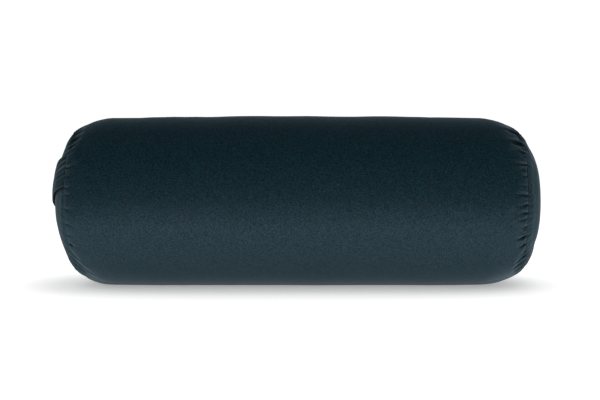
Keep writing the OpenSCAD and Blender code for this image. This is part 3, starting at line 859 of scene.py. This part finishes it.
def build_end(side):
    c = COVER
    n = 200
    rho, phi, faces = disc_grid(n)
    rho, phi = rho.ravel(), phi.ravel()
    L = c["dR"] * c["da"]
    # rings crowd together at the rim, for the rolled edge
    q = 1 - (1 - rho) ** 1.25
    d = L * (1 - rho * 0.5 - q * 0.5)
    d = np.where(d < LIP, LIP * (1 - np.cos(np.clip(d / LIP, 0, 1) * math.pi / 2)) * 0.999, d)
    a = (L - d) / c["dR"]
    x, r = c["dx"] + c["dR"] * np.cos(a), c["dR"] * np.sin(a)
    nx, nr = np.cos(a), np.sin(a)
    h, painted_shading = gathers(side, d * 1.5, phi, 0.8, 0.28, 0.45)
    h = h + end_puff(side, n) + lip(d) * (1 if side > 0 else 0.6) + end_height(side, rho, d, phi)
    wander = 0.5 * waves(np.zeros_like(phi), phi, 31 + side, 10, 22, 50, 90) * np.exp(-((d / 22) ** 2))
    V = place(x - nr * wander, r + nx * wander, phi, nx, nr, h)
    rim = [(i * (n + 1)) for i in range(n)] + [n * (n + 1) + j for j in range(n)] + [(n - i) * (n + 1) + n for i in range(n)] + [n - j for j in range(n)]
    edge = V[rim]
    # turned-in allowance behind the rim
    bis = np.array([math.cos(c["sa"]) + math.cos(c["da"]), math.sin(c["sa"]) + math.sin(c["da"])])
    bis /= np.linalg.norm(bis)
    rad = np.stack([np.zeros(len(rim)), -np.cos(phi[rim]), np.sin(phi[rim])], -1)
    n3 = rad * bis[1] + np.array([bis[0], 0, 0])
    t3 = rad * bis[0] - np.array([bis[1], 0, 0])
    rings = []
    for t in (1.2, 2.6, 4.6):
        rings.append(edge - n3 * t - t3 * 0.25)
    k = len(V)
    V = np.concatenate([V] + rings)
    m = len(rim)
    chain = [rim] + [list(range(k + q2 * m, k + (q2 + 1) * m)) for q2 in range(3)]
    for A, B in zip(chain, chain[1:]):
        for i in range(m):
            j = (i + 1) % m
            faces.append((A[i], A[j], B[j], B[i]))
    V[:, 0] *= side
    flat = np.stack([rho * L * np.cos(phi), rho * L * np.sin(phi)], -1)
    flat = np.concatenate([flat, np.tile(flat[rim], (3, 1))])
    name = "cover_end_fabric_" + ("right" if side > 0 else "left")
    ob = mesh_object(name, deform(V), faces, flat)
    # painted shade along the rim next to the seam
    painted_shading = np.maximum(painted_shading, (0.32 if side > 0 else 0.15) * np.exp(-((d / 1.6) ** 2)))
    if side < 0:
        # painted shadow on the panel along the strap's edges, strongest below its lower edge, and under the strap
        y, z = -r * np.cos(phi), r * np.sin(phi)
        zr = y * math.sin(TILT) + z * math.cos(TILT)
        v = (zr - OFFSET) / (WIDTH / 2)
        for edge_v, force, w in ((-1, 1.1, 2.6), (1, 0.5, 1.3)):
            painted_shading = np.maximum(painted_shading, force * np.exp(-((((v - edge_v) * WIDTH / 2 + edge_v * -0.3) / w) ** 2)))
        painted_shading = np.where(np.abs(v) < 1, np.maximum(painted_shading, 0.5), painted_shading)
    # painted shade on the turned-in allowance
    mark(ob, np.concatenate([painted_shading, np.full(3 * m, 0.9)]))
    return outward(ob)


for side, word in ((-1, "left"), (1, "right")):
    end = build_end(side)
    # an open sheet's normals point away from the cushion
    c0 = sum((p.normal * p.area for p in end.data.polygons), Vector())
    if c0.x * side < 0:
        end.data.flip_normals()
    thicken(end, 1.2)
    finish_piece(end, "cushion", M_ENDS[side], "cover_fabric", "cover_end_" + word)


# ---------------------------------------------------------------------------
# Stitches
# ---------------------------------------------------------------------------
def stitches(name, centres, along, up, length, radius, sink=0.35):
    """Short lengths of thread, each one bedded into the fabric at both ends."""
    rings, sides = 6, 7
    verts, faces = [], []
    for c0, a, u in zip(np.asarray(centres), np.asarray(along), np.asarray(up)):
        a = a / np.linalg.norm(a)
        u = u - a * (u @ a)
        u = u / np.linalg.norm(u)
        w = np.cross(a, u)
        base = len(verts)
        for i in range(rings):
            t = -1 + 2 * i / (rings - 1)
            mid = c0 + a * (t * length / 2) - u * (sink * t ** 4)
            rad = radius * (0.45 + 0.55 * math.sqrt(max(0.0, 1 - t ** 4)))
            for j in range(sides):
                q = 2 * math.pi * j / sides
                verts.append(mid + (w * math.cos(q) + u * math.sin(q)) * rad)
        for i in range(rings - 1):
            for j in range(sides):
                k = (j + 1) % sides
                faces.append((base + i * sides + j, base + i * sides + k, base + (i + 1) * sides + k, base + (i + 1) * sides + j))
        faces.append(tuple(base + j for j in range(sides))[::-1])
        faces.append(tuple(base + (rings - 1) * sides + j for j in range(sides)))
    return outward(mesh_object(name, np.array(verts), faces))


def zip_point(x, y, z):
    """From the zip's own frame (y round the back, z out from the axis) to the cushion's."""
    a = 38 * D2R
    x, y, z = np.broadcast_arrays(np.asarray(x, float), np.asarray(y, float), np.asarray(z, float))
    return np.stack([x, -y * math.sin(a) + z * math.cos(a), AX - y * math.cos(a) - z * math.sin(a)], -1)


def zip_dir(y, z):
    a = 38 * D2R
    return np.array([0, -y * math.sin(a) + z * math.cos(a), -y * math.cos(a) - z * math.sin(a)])


def build_topstitching():
    cs, al, up = [], [], []
    pitch = 4.0
    n = int((2 * ZIP_HALF + 4) // pitch)
    a = math.asin(9.0 / 115)
    for s in (-1, 1):
        for i in range(n):
            x = (i - (n - 1) / 2) * pitch
            y, z = 115.0 * math.sin(s * a), 115.0 * math.cos(a)
            lift = -0.15
            cs.append(zip_point(x, y * (1 + lift / 115), z * (1 + lift / 115)))
            al.append([1, 0, 0])
            up.append(zip_dir(y, z))
    m = 4
    for s in (-1, 1):
        for i in range(m):
            b = (i - (m - 1) / 2) * 4.0 / 115
            cs.append(zip_point(s * (ZIP_HALF + 4), 115.1 * math.sin(b), 115.1 * math.cos(b)))
            al.append(zip_dir(math.cos(b), -math.sin(b)))
            up.append(zip_dir(math.sin(b), math.cos(b)))
    return stitches("zip_topstitching_thread", deform(np.array(cs)), al, up, 3.1, 0.34)


ob = build_topstitching()
finish_piece(ob, "cushion", M_THREAD, "thread", "zip_topstitching")

for side, word in ((-1, "left"), (1, "right")):
    c = COVER
    n = 120
    cs, al, up = [], [], []
    for i in range(n):
        p = 2 * math.pi * i / n + 0.01
        w = float(0.5 * waves(np.zeros(1), np.array([p]), 31 + side, 10, 22, 50, 90)[0])
        bis = np.array([math.cos(c["sa"]) + math.cos(c["da"]), math.sin(c["sa"]) + math.sin(c["da"])])
        bis /= np.linalg.norm(bis)
        v = place(np.array([c["sx"] - bis[1] * w]), np.array([c["seam"] + bis[0] * w]), np.array([p]), bis[0], bis[1], -LIP - 0.9)[0]
        rad = np.array([0, -math.cos(p), math.sin(p)])
        across = rad * bis[0] - np.array([bis[1], 0, 0])
        nn = rad * bis[1] + np.array([bis[0], 0, 0])
        v[0] *= side
        across[0] *= side
        nn[0] *= side
        cs.append(v)
        al.append(across)
        up.append(nn)
    ob = stitches("end_seam_stitches_" + word, deform(np.array(cs)), al, up, 3.2, 0.3, 0.2)
    finish_piece(ob, "cushion", M_THREAD, "thread", "end_seam_thread_" + word)


# ---------------------------------------------------------------------------
# Carry handle on the left end
# ---------------------------------------------------------------------------


def strap_surface(u, v, lift):
    """u runs along the strap (-1 front end, 1 back end), v across it (-1 low edge, 1 high edge)."""
    c = COVER
    zr = OFFSET + v * WIDTH / 2
    reach = np.sqrt(np.maximum(91.6 ** 2 - zr ** 2, 1))
    yr = u * reach
    rr2 = yr ** 2 + zr ** 2
    R = c["dR"] + lift
    x = -(c["dx"] + np.sqrt(np.maximum(R * R - rr2, 1)))
    y = yr * math.cos(TILT) + zr * math.sin(TILT)
    z = AX - yr * math.sin(TILT) + zr * math.cos(TILT)
    return np.stack([x, y, z], -1)


def strap_lift(u, v):
    """How far the strap's underside stands off the end panel's outline: it lies on the panel, a little slack in its middle."""
    zr = OFFSET + v * WIDTH / 2
    yr = u * np.sqrt(np.maximum(91.6 ** 2 - zr ** 2, 1))
    y = yr * math.cos(TILT) + zr * math.sin(TILT)
    z = -yr * math.sin(TILT) + zr * math.cos(TILT)
    rr = np.hypot(y, z)
    c = COVER
    L = c["dR"] * c["da"]
    d = L - c["dR"] * np.arcsin(np.clip(rr / c["dR"], 0, 1))
    under = end_height(-1, 1 - d / L, d, np.arctan2(z, -y))
    body = 1 - np.abs(u) ** 3
    tuck = smooth(0.78, 0.985, np.abs(u))
    return np.maximum(under, -0.6) + 0.40 + 0.7 * body - 0.8 * tuck


def strap_slack(u, v):
    """Uneven little hollows and ridges along the slack strap, of about unit size."""
    g = np.random.default_rng(64)
    h = 0.0
    for size, lo, hi, n in ((0.55, 1.5, 5.5, 7), (0.22, 6.0, 15.0, 9)):
        for _ in range(n):
            k, a = g.uniform(lo, hi), g.uniform(0.25, 1.15) * g.choice([-1, 1], p=[0.75, 0.25])
            h = h + size / math.sqrt(n / 2) * np.cos(k * (np.cos(a) * u * 1.9 + np.sin(a) * v * 0.55) + g.uniform(0, 2 * math.pi))
    return h


def strap_thick(u):
    """The strap is pressed thin where it goes into the seam."""
    return THICK * (1 - 0.55 * smooth(0.78, 0.985, np.abs(u)))


def build_strap():
    nu, nv = 190, 48
    u = np.sin(np.linspace(-math.pi / 2, math.pi / 2, nu) * 0.92) / math.sin(math.pi / 2 * 0.92)
    # section: over the top face, round one edge, back along the underside
    edge = THICK / 2
    pts = []
    e = edge / (WIDTH / 2)
    for t in np.linspace(-1 + e, 1 - e, nv):
        pts.append((t, 1.0))
    for k in range(1, 6):
        q = math.pi / 2 - math.pi * k / 6
        pts.append((1 - e + e * math.cos(q), math.sin(q)))
    for t in np.linspace(1 - e, -1 + e, nv):
        pts.append((t, -1.0))
    for k in range(1, 6):
        q = -math.pi / 2 - math.pi * k / 6
        pts.append((-1 + e + e * math.cos(q), math.sin(q)))
    S = np.array(pts)
    U, Vv = np.meshgrid(u, S[:, 0], indexing="ij")
    _, Z = np.meshgrid(u, S[:, 1], indexing="ij")
    body = 1 - np.abs(U) ** 3
    # the strap stands a little off the end where it has slack, and its ends dive into the seam
    lift = strap_lift(U, Vv)
    lift = lift - 2.4 * smooth(0.982, 1.0, np.abs(U))
    thick = strap_thick(U)
    # puffed between its two rows of topstitching
    face = thick / 2 * (1 + 0.22 * (1 - (Vv / 0.82) ** 2) * (np.abs(Vv) < 0.82))
    dip = 0.45 * thick / THICK * np.exp(-(((np.abs(Vv) - 0.84) / 0.035) ** 2))
    wr = 0.42 * strap_slack(U, Vv) * (0.4 + 0.6 * body)
    # diagonal drag lines from the caught end, with painted shade in each line and a painted highlight beside it
    drag_shade, drag_highlight = np.zeros_like(U), np.zeros_like(U)
    for u0, v0, du, dv, dep, w in ((-0.82, 0.62, 1.0, -0.9, 1.1, 0.075), (-0.74, 0.28, 1.0, -0.75, 1.1, 0.12), (-0.88, -0.30, 1.0, -0.5, 0.6, 0.06),
                                   (-0.92, 0.02, 1.0, -0.65, 0.8, 0.05),
                                   (0.78, 0.3, 1.0, 0.8, 0.9, 0.10), (0.84, -0.4, 1.0, 0.6, 0.8, 0.09)):
        nn = math.hypot(du, dv)
        dist = ((U - u0) * dv - (Vv - v0) * du) / nn
        run = ((U - u0) * du + (Vv - v0) * dv) / nn
        line = np.exp(-((dist / w) ** 2)) * np.exp(-((run / 0.35) ** 2))
        wr = wr - dep * line
        drag_shade = np.maximum(drag_shade, 1.0 * dep * np.exp(-((dist / w * 1.7) ** 2)) * np.exp(-((run / 0.40) ** 2)) * (Z > 0))
        drag_highlight = np.maximum(drag_highlight, 1.5 * dep * np.exp(-(((dist / w - 1.1) * 1.8) ** 2)) * np.exp(-((run / 0.40) ** 2)) * (Z > 0))
    h = lift + thick / 2 + Z * (face - dip) + wr * 0.8 * (0.5 + 0.5 * Z)
    P = strap_surface(U, Vv, h)
    V = deform(P.reshape(-1, 3))
    m = len(S)
    faces = grid_faces(nu, m, True)
    faces.append(tuple(range(m))[::-1])
    faces.append(tuple((nu - 1) * m + i for i in range(m)))
    uv = np.stack([U.ravel() * 86, Vv.ravel() * 26], -1)
    ob = mesh_object("carry_handle_strap", V, faces, uv)
    # painted shade on the strap's underside and edges and in its stitch grooves, painted highlight along its top edges
    painted_shading = np.maximum(np.where(Z < 0.6, 0.95, 0.0), 0.6 * np.exp(-(((np.abs(Vv) - 0.84) / 0.03) ** 2)))
    painted_shading = np.maximum(painted_shading, drag_shade) - drag_highlight * (painted_shading < 0.3) * (drag_shade < 0.3) - 0.8 * np.exp(-(((np.abs(Vv) - 0.95) / 0.03) ** 2)) * (Z > 0.6)
    mark(ob, painted_shading.ravel())
    outward(ob)
    w = (np.clip(1 - U.ravel() ** 2, 0, 1)) ** 0.8 * smooth(0.0, 0.25, 1 - np.abs(U.ravel()))
    return ob, w, lift


def set_blend(ob):
    """Bakes the piece's placement into its mesh. The strap's two ends are sewn into the seam."""
    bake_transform(ob)


strap, strap_w, _ = build_strap()
finish_piece(strap, None, M_STRAP, "cover_fabric", "carry_handle")
set_blend(strap)

cs, al, up, ws = [], [], [], []
for v in (-0.84, 0.84):
    us = np.linspace(-0.90, 0.90, 47)
    for a, b in zip(us[:-1], us[1:]):
        um = (a + b) / 2
        body = 1 - abs(um) ** 3
        lift = float(strap_lift(np.array(um), np.array(v)))
        wr = 0.42 * float(strap_slack(um, v)) * (0.4 + 0.6 * body)
        p0 = strap_surface(np.array(a), np.array(v), lift)
        p1 = strap_surface(np.array(b), np.array(v), lift)
        pm = strap_surface(np.array(um), np.array(v), lift + float(strap_thick(um)) - 0.30 + wr * 0.8)
        cs.append(pm)
        al.append(p1 - p0)
        up.append(pm - np.array([-COVER["dx"], 0, AX]))
        ws.append((1 - um * um) ** 0.8 * float(smooth(0.0, 0.25, 1 - abs(um))))
ob = stitches("carry_handle_topstitching", deform(np.array(cs)), al, up, 2.6, 0.32)
ob.data.materials.append(M_THREAD)
set_blend(ob)


# ---------------------------------------------------------------------------
# Zip
# ---------------------------------------------------------------------------
def tube_along(points, radii, sides=8):
    """A round wire through points."""
    P = np.asarray(points)
    T = np.gradient(P, axis=0)
    T /= np.linalg.norm(T, axis=1, keepdims=True)
    ref = np.array([1.0, 0, 0])
    A = np.cross(T, ref)
    bad = np.linalg.norm(A, axis=1) < 0.2
    A[bad] = np.cross(T[bad], np.array([0, 1.0, 0]))
    A /= np.linalg.norm(A, axis=1, keepdims=True)
    B = np.cross(T, A)
    q = 2 * math.pi * np.arange(sides) / sides
    V = P[:, None] + np.asarray(radii)[:, None, None] * (A[:, None] * np.cos(q)[None, :, None] + B[:, None] * np.sin(q)[None, :, None])
    n = len(P)
    faces = grid_faces(n, sides, True)
    faces.append(tuple(range(sides))[::-1])
    faces.append(tuple((n - 1) * sides + i for i in range(sides)))
    return V.reshape(-1, 3), faces


def build_coil(s, name):
    pts, rad = [], []
    x0 = -ZIP_HALF + 8 + (1.0 if s < 0 else 0.0)
    n = int((SLIDER_X + 8.0 - x0) // 2)
    loop = [(0.00, 3.05, 113.98, .40), (0.02, 3.35, 114.65, .38), (0.08, 2.75, 115.22, .38), (0.14, 1.0, 115.24, .37), (0.20, -0.45, 115.12, .42),
            (0.24, -0.86, 114.66, .47), (0.28, -0.45, 114.20, .42), (0.34, 1.0, 114.06, .37), (0.9, 2.6, 113.98, .37)]
    for k in range(n):
        for dx, y, z, r in loop:
            x = x0 + 2 * k + dx * (1.0 if dx < 0.5 else 1.35)
            part = float(smooth(SLIDER_X + 0.4, SLIDER_X + 3.6, x)) * 2.45
            pts.append(zip_point(x, s * (y + part - 0.02), z))
            rad.append(r)
    V, F = tube_along(deform_zip(np.array(pts)), rad, 7)
    return outward(mesh_object(name, V, F))


def deform_zip(p):
    return p


for s, word in ((-1, "upper"), (1, "lower")):
    ob = build_coil(s, "zip_coil_" + word + "_nylon")
    finish_piece(ob, "cushion", M_COIL, "zip_coil", "zip_coil_" + word)


def rounded_copy(node, body, mat, slot, width, segs=2):
    """The CAD part's own shape with its edges broken, as cast and tumbled metal has them."""
    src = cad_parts[node]
    me = src.data.copy()
    ob = bpy.data.objects.new(node + "_finished", me)
    bpy.context.scene.collection.objects.link(ob)
    bm = bmesh.new()
    bm.from_mesh(me)
    bmesh.ops.remove_doubles(bm, verts=bm.verts, dist=1e-6)
    bmesh.ops.dissolve_limit(bm, angle_limit=0.02, verts=bm.verts, edges=bm.edges)
    bm.to_mesh(me)
    bm.free()
    b = ob.modifiers.new("bevel", "BEVEL")
    b.width = width * 0.001
    b.segments = segs
    b.limit_method = "ANGLE"
    b.angle_limit = 40 * D2R
    b.harden_normals = False
    apply_modifiers(ob)
    ob.data.shade_smooth()
    ob.data.set_sharp_from_angle(angle=35 * D2R)
    return finish_piece(ob, body, mat, slot, node)


rounded_copy("zip_slider", "zip_slider", M_METAL, "zip_metal", 0.14)
rounded_copy("zip_pull", "zip_pull", M_METAL, "zip_metal", 0.18)
rounded_copy("zip_top_stops", "cushion", M_METAL, "zip_metal", 0.3)
rounded_copy("zip_bottom_stop", "cushion", M_METAL, "zip_metal", 0.3)
for node, mat in (("zip_tape_upper", M_TAPE), ("zip_tape_lower", M_TAPE), ("care_label", M_LABEL)):
    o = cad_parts[node]
    o.data.materials.clear()
    o.data.materials.append(mat)


# ---------------------------------------------------------------------------
# Inner cushion: liner, core and wadding
# ---------------------------------------------------------------------------
def inner_deform(p):
    p = deform(p)
    p[..., 2] = np.maximum(p[..., 2], 3.6 + 0.15 * np.maximum(0, 6 - p[..., 2]))
    return p


def build_liner():
    c = LINER
    lip_d = LIP * (1 - np.cos(np.linspace(0, math.pi / 2, 5)))
    ds = np.concatenate([lip_d, LIP + (c["arc"] - LIP) * np.linspace(0, 1, 24)[1:], c["arc"] + c["hx"] * np.linspace(0, 1, 22)[1:]])
    x, r, nx, nr = half_outline(c, ds)
    nv = 300
    phis = 2 * math.pi * np.arange(nv) / nv
    P = np.broadcast_to(phis, (len(ds), nv))
    out = []
    for side in (-1, 1):
        D = np.broadcast_to(ds[:, None], P.shape)
        X, R = np.broadcast_to(x[:, None], P.shape), np.broadcast_to(r[:, None], P.shape)
        h = 0.6 * gathers(-side, D, P + 0.6)[0] + lip(D)
        h = h - 6.5 * np.exp(-((D / 16) ** 2)) - 0.5
        h = h + 0.35 * smooth(10, 60, D) * (waves(side * X, P, 51, 24, 9, 40, 160) - 1)
        h = h - 0.7 * np.exp(-((wrap(P - ZIP_PHI - 0.5) * c["R"] / 1.6) ** 2)) * smooth(3, 12, D)
        V = place(X, R, P, np.broadcast_to(nx[:, None], P.shape), np.broadcast_to(nr[:, None], P.shape), h)
        V[..., 0] *= side
        out.append(V)
    V = np.concatenate([out[0], out[1][::-1][1:]])
    s_row = np.concatenate([ds, (2 * ds[-1] - ds[::-1])[1:]])
    uv = np.stack(np.broadcast_arrays(s_row[:, None], (phis * c["R"])[None, :]), -1).reshape(-1, 2)
    ob = outward(mesh_object("liner_tube_calico", inner_deform(V.reshape(-1, 3)), grid_faces(V.shape[0], nv), uv))
    thicken(ob, 0.7)
    finish_piece(ob, "cushion", M_CALICO, "liner_fabric", "liner_tube")
    for side, word in ((-1, "left"), (1, "right")):
        n = 90
        rho, phi, faces = disc_grid(n)
        rho, phi = rho.ravel(), phi.ravel()
        L = c["dR"] * c["da"]
        d = L * (1 - rho)
        d = np.where(d < LIP, LIP * (1 - np.cos(np.clip(d / LIP, 0, 1) * math.pi / 2)) * 0.999, d)
        a = (L - d) / c["dR"]
        h = gathers(-side, d * 1.5, phi + 0.6, 0.8, 0.2, 0.3)[0] + lip(d) - 6.5 * np.exp(-((d / 18) ** 2)) - 0.8 * smooth(0, 20, d)
        h = h - 0.5 - 0.4 * np.exp(-((np.cos(phi) * rho * 80 / 30) ** 2))
        V = place(c["dx"] + c["dR"] * np.cos(a) - 0.5, c["dR"] * np.sin(a), phi, np.cos(a), np.sin(a), h)
        V[:, 0] *= side
        uv = np.stack([rho * L * np.cos(phi), rho * L * np.sin(phi)], -1)
        ob = outward(mesh_object("liner_end_calico_" + word, inner_deform(V), faces, uv))
        c0 = sum((p.normal * p.area for p in ob.data.polygons), Vector())
        if c0.x * side < 0:
            ob.data.flip_normals()
        thicken(ob, 0.7)
        finish_piece(ob, "cushion", M_CALICO, "liner_fabric", "liner_end_" + word)


def ring_solid(name, prof, nv, bump_h, closed=True, seed=0):
    """A solid turned from a closed section (list of x, r), with a lumpy surface."""
    prof = np.asarray(prof, float)
    n = len(prof)
    phis = 2 * math.pi * np.arange(nv) / nv
    nxt, prv = np.roll(prof, -1, 0), np.roll(prof, 1, 0)
    t = nxt - prv
    t /= np.maximum(np.linalg.norm(t, axis=1, keepdims=True), 1e-9)
    nrm = np.stack([t[:, 1], -t[:, 0]], -1)
    X, P = np.meshgrid(prof[:, 0], phis, indexing="ij")
    R = np.broadcast_to(prof[:, 1][:, None], X.shape)
    h = bump_h * (waves(X + R, P, seed, 22, 9, 18, 90) * 0.5 - 0.9)
    NX, NR = np.broadcast_to(nrm[:, 0][:, None], X.shape), np.broadcast_to(nrm[:, 1][:, None], X.shape)
    V = place(X, R, P, -NX * -1, NR, h)
    faces = grid_faces(n, nv, True)
    for j in range(nv):
        k = (j + 1) % nv
        faces.append(((n - 1) * nv + j, (n - 1) * nv + k, k, j))
    return outward(mesh_object(name, inner_floor(V.reshape(-1, 3)), faces))


def inner_floor(p):
    p = deform(p)
    p[..., 2] = np.maximum(p[..., 2], 4.8)
    return p


def section(points, step):
    """Points along a closed polygon about every step mm."""
    out = []
    pts = list(points)
    for (x0, r0), (x1, r1) in zip(pts, pts[1:] + pts[:1]):
        k = max(1, int(math.hypot(x1 - x0, r1 - r0) / step))
        for i in range(k):
            out.append((x0 + (x1 - x0) * i / k, r0 + (r1 - r0) * i / k))
    return out


def rounded(x0, x1, r0, r1, e=4.0):
    """A rounded rectangle, turned so that its outside is on the left hand."""
    out = []
    for cx, cr, a0 in ((x1 - e, r1 - e, 0), (x0 + e, r1 - e, 90), (x0 + e, r0 + e, 180), (x1 - e, r0 + e, 270)):
        for k in range(5):
            a = (a0 + 90 * k / 4) * D2R
            out.append((cx + e * math.cos(a), cr + e * math.sin(a)))
    return out


def build_filling():
    ob = ring_solid("wadding_wrap_fibre", section(rounded(-272, 272, 89, 108.6), 5), 180, 1.0, seed=3)
    finish_piece(ob, "cushion", M_WAD, "wadding", "wadding_wrap")
    c = LINER
    for side, word in ((-1, "left"), (1, "right")):
        # a domed cap of wadding, closed at the axis by a small hole that the fibres fill
        prof = [(276.5, 0.4), (276.5, 60), (276.5, 92)]
        for d in np.linspace(40, 2, 9):
            x, r, nx, nr = half_outline(c, np.array([d]))
            prof.append((float(x[0] - nx[0] * 10.5), float(r[0] - nr[0] * 10.5)))
        for a in np.linspace(c["da"] * 0.9, 0.004, 14):
            prof.append((c["dx"] + (c["dR"] - 6) * math.cos(a), (c["dR"] - 6) * math.sin(a)))
        prof = prof[::-1]
        ob = ring_solid("wadding_end_fibre_" + word, section(prof, 5), 150, 0.5, seed=5 + side)
        if side < 0:
            V = np.zeros(len(ob.data.vertices) * 3, np.float32)
            ob.data.vertices.foreach_get("co", V)
            V = V.reshape(-1, 3)
            V[:, 0] *= -1
            V[:, 0] += 0.0085 * smooth(0.10, 0.5, (0.112 - V[:, 2]) / 0.112) * smooth(-0.19, -0.30, V[:, 0])
            ob.data.vertices.foreach_set("co", V.ravel())
            ob.data.flip_normals()
        finish_piece(ob, "cushion", M_WAD, "wadding", "wadding_end_" + word)
    # the core: batting rolled up, its layers showing as a spiral on both ends
    nv, nr_ = 240, 60
    phis = 2 * math.pi * np.arange(nv) / nv
    rows = []
    half = 271.0
    for side in (-1, 1):
        rr = np.linspace(0.6, 84.5, nr_)
        R, P = np.meshgrid(rr, phis, indexing="ij")
        lay = (R / 8.5 - side * P / (2 * math.pi)) % 1.0
        edge = 1.6 * (1 - (2 * lay - 1) ** 8) - 2.4 + 0.5 * waves(R * 2, P, 61 + side, 12, 6, 20, 60)
        X = side * (half + edge - 1.2)
        rows.append(np.stack([X, -R * np.cos(P), AX + R * np.sin(P)], -1))
    xs = np.linspace(-half + 3, half - 3, 110)
    X, P = np.meshgrid(xs, phis, indexing="ij")
    tail = 1.6 * smooth(0, 0.03, (P - 1.1) % (2 * math.pi)) - 1.6
    R = 85.7 + 0.5 * (waves(X, P, 71, 22, 9, 22, 120) - 1) + tail * (1 - smooth(0.02, 0.5, (P - 1.1) % (2 * math.pi)))
    side_v = np.stack([X, -R * np.cos(P), AX + R * np.sin(P)], -1)
    V = np.concatenate([rows[0], side_v, rows[1][::-1]]).reshape(-1, 3)
    n = nr_ + 110 + nr_
    faces = grid_faces(n, nv, True)
    faces.append(tuple(range(nv))[::-1])
    faces.append(tuple((n - 1) * nv + j for j in range(nv)))
    ob = outward(mesh_object("core_roll_batting", V, faces))
    finish_piece(ob, "cushion", M_BATT, "batting", "core_roll")


build_liner()
build_filling()


# ---------------------------------------------------------------------------
# Studio: pale floor, soft white surroundings, camera
# ---------------------------------------------------------------------------
def studio():
    me = bpy.data.meshes.new("studio_floor")
    s = 30.0
    me.from_pydata([(-s, -s, 0), (s, -s, 0), (s, s, 0), (-s, s, 0)], [], [(0, 1, 2, 3)])
    floor = bpy.data.objects.new("studio_floor", me)
    bpy.context.scene.collection.objects.link(floor)
    m = Nodes("studio_white")
    m.set(Roughness=0.9)
    m.bsdf.inputs["Base Color"].default_value = (0.9, 0.9, 0.9, 1)
    m.bsdf.inputs["Specular IOR Level"].default_value = 0.0
    m.bsdf.inputs["Emission Color"].default_value = (1, 1, 1, 1)
    m.bsdf.inputs["Emission Strength"].default_value = FLOOR_GLOW
    me.materials.append(m.mat)
    w = bpy.data.worlds.new("studio_surroundings")
    bpy.context.scene.world = w
    w.use_nodes = True
    nt = w.node_tree
    nt.nodes.clear()
    out = nt.nodes.new("ShaderNodeOutputWorld")
    bg_cam = nt.nodes.new("ShaderNodeBackground")
    bg_lit = nt.nodes.new("ShaderNodeBackground")
    mix = nt.nodes.new("ShaderNodeMixShader")
    lp = nt.nodes.new("ShaderNodeLightPath")
    tc = nt.nodes.new("ShaderNodeTexCoord")
    sep = nt.nodes.new("ShaderNodeSeparateXYZ")
    rmp = nt.nodes.new("ShaderNodeMapRange")
    nt.links.new(tc.outputs["Generated"], sep.inputs[0])
    nt.links.new(sep.outputs["Z"], rmp.inputs["Value"])
    rmp.inputs["From Min"].default_value = 0.0
    rmp.inputs["From Max"].default_value = 1.0
    rmp.inputs["To Min"].default_value = WORLD_LOW
    rmp.inputs["To Max"].default_value = WORLD_TOP
    nt.links.new(rmp.outputs["Result"], bg_lit.inputs["Strength"])
    bg_cam.inputs["Strength"].default_value = 1.05
    bg_cam.inputs["Color"].default_value = (1, 1, 1, 1)
    bg_lit.inputs["Color"].default_value = (1, 1, 1, 1)
    nt.links.new(lp.outputs["Is Camera Ray"], mix.inputs[0])
    nt.links.new(bg_lit.outputs[0], mix.inputs[1])
    nt.links.new(bg_cam.outputs[0], mix.inputs[2])
    nt.links.new(mix.outputs[0], out.inputs["Surface"])


FLOOR_GLOW = 0.35
WORLD_LOW, WORLD_TOP = 0.85, 0.75


def area(name, loc, target, size, power):
    li = bpy.data.lights.new(name, "AREA")
    li.shape = "RECTANGLE"
    li.size, li.size_y = size
    li.energy = power
    ob = bpy.data.objects.new(name, li)
    ob.location = loc
    ob.rotation_euler = (Vector(target) - Vector(loc)).to_track_quat("-Z", "Y").to_euler()
    bpy.context.scene.collection.objects.link(ob)


studio()
area("overhead_softbox", (0.2, 0.1, 1.9), (0, 0, 0.1), (1.8, 1.0), 9)

ELEV = 4.0 * D2R
DIST = 1.915
target = Vector((0.0047, 0.0, 0.1134))
cam = bpy.data.objects.new("camera", bpy.data.cameras.new("camera"))
cam.data.lens = 85
cam.data.sensor_width = 36
cam.location = target + Vector((0, -DIST * math.cos(ELEV), DIST * math.sin(ELEV)))
cam.rotation_euler = (target - cam.location).to_track_quat("-Z", "Y").to_euler()
bpy.context.scene.collection.objects.link(cam)
bpy.context.scene.camera = cam
bpy.context.scene.view_settings.view_transform = "Standard"
bpy.context.scene.view_settings.look = "None"
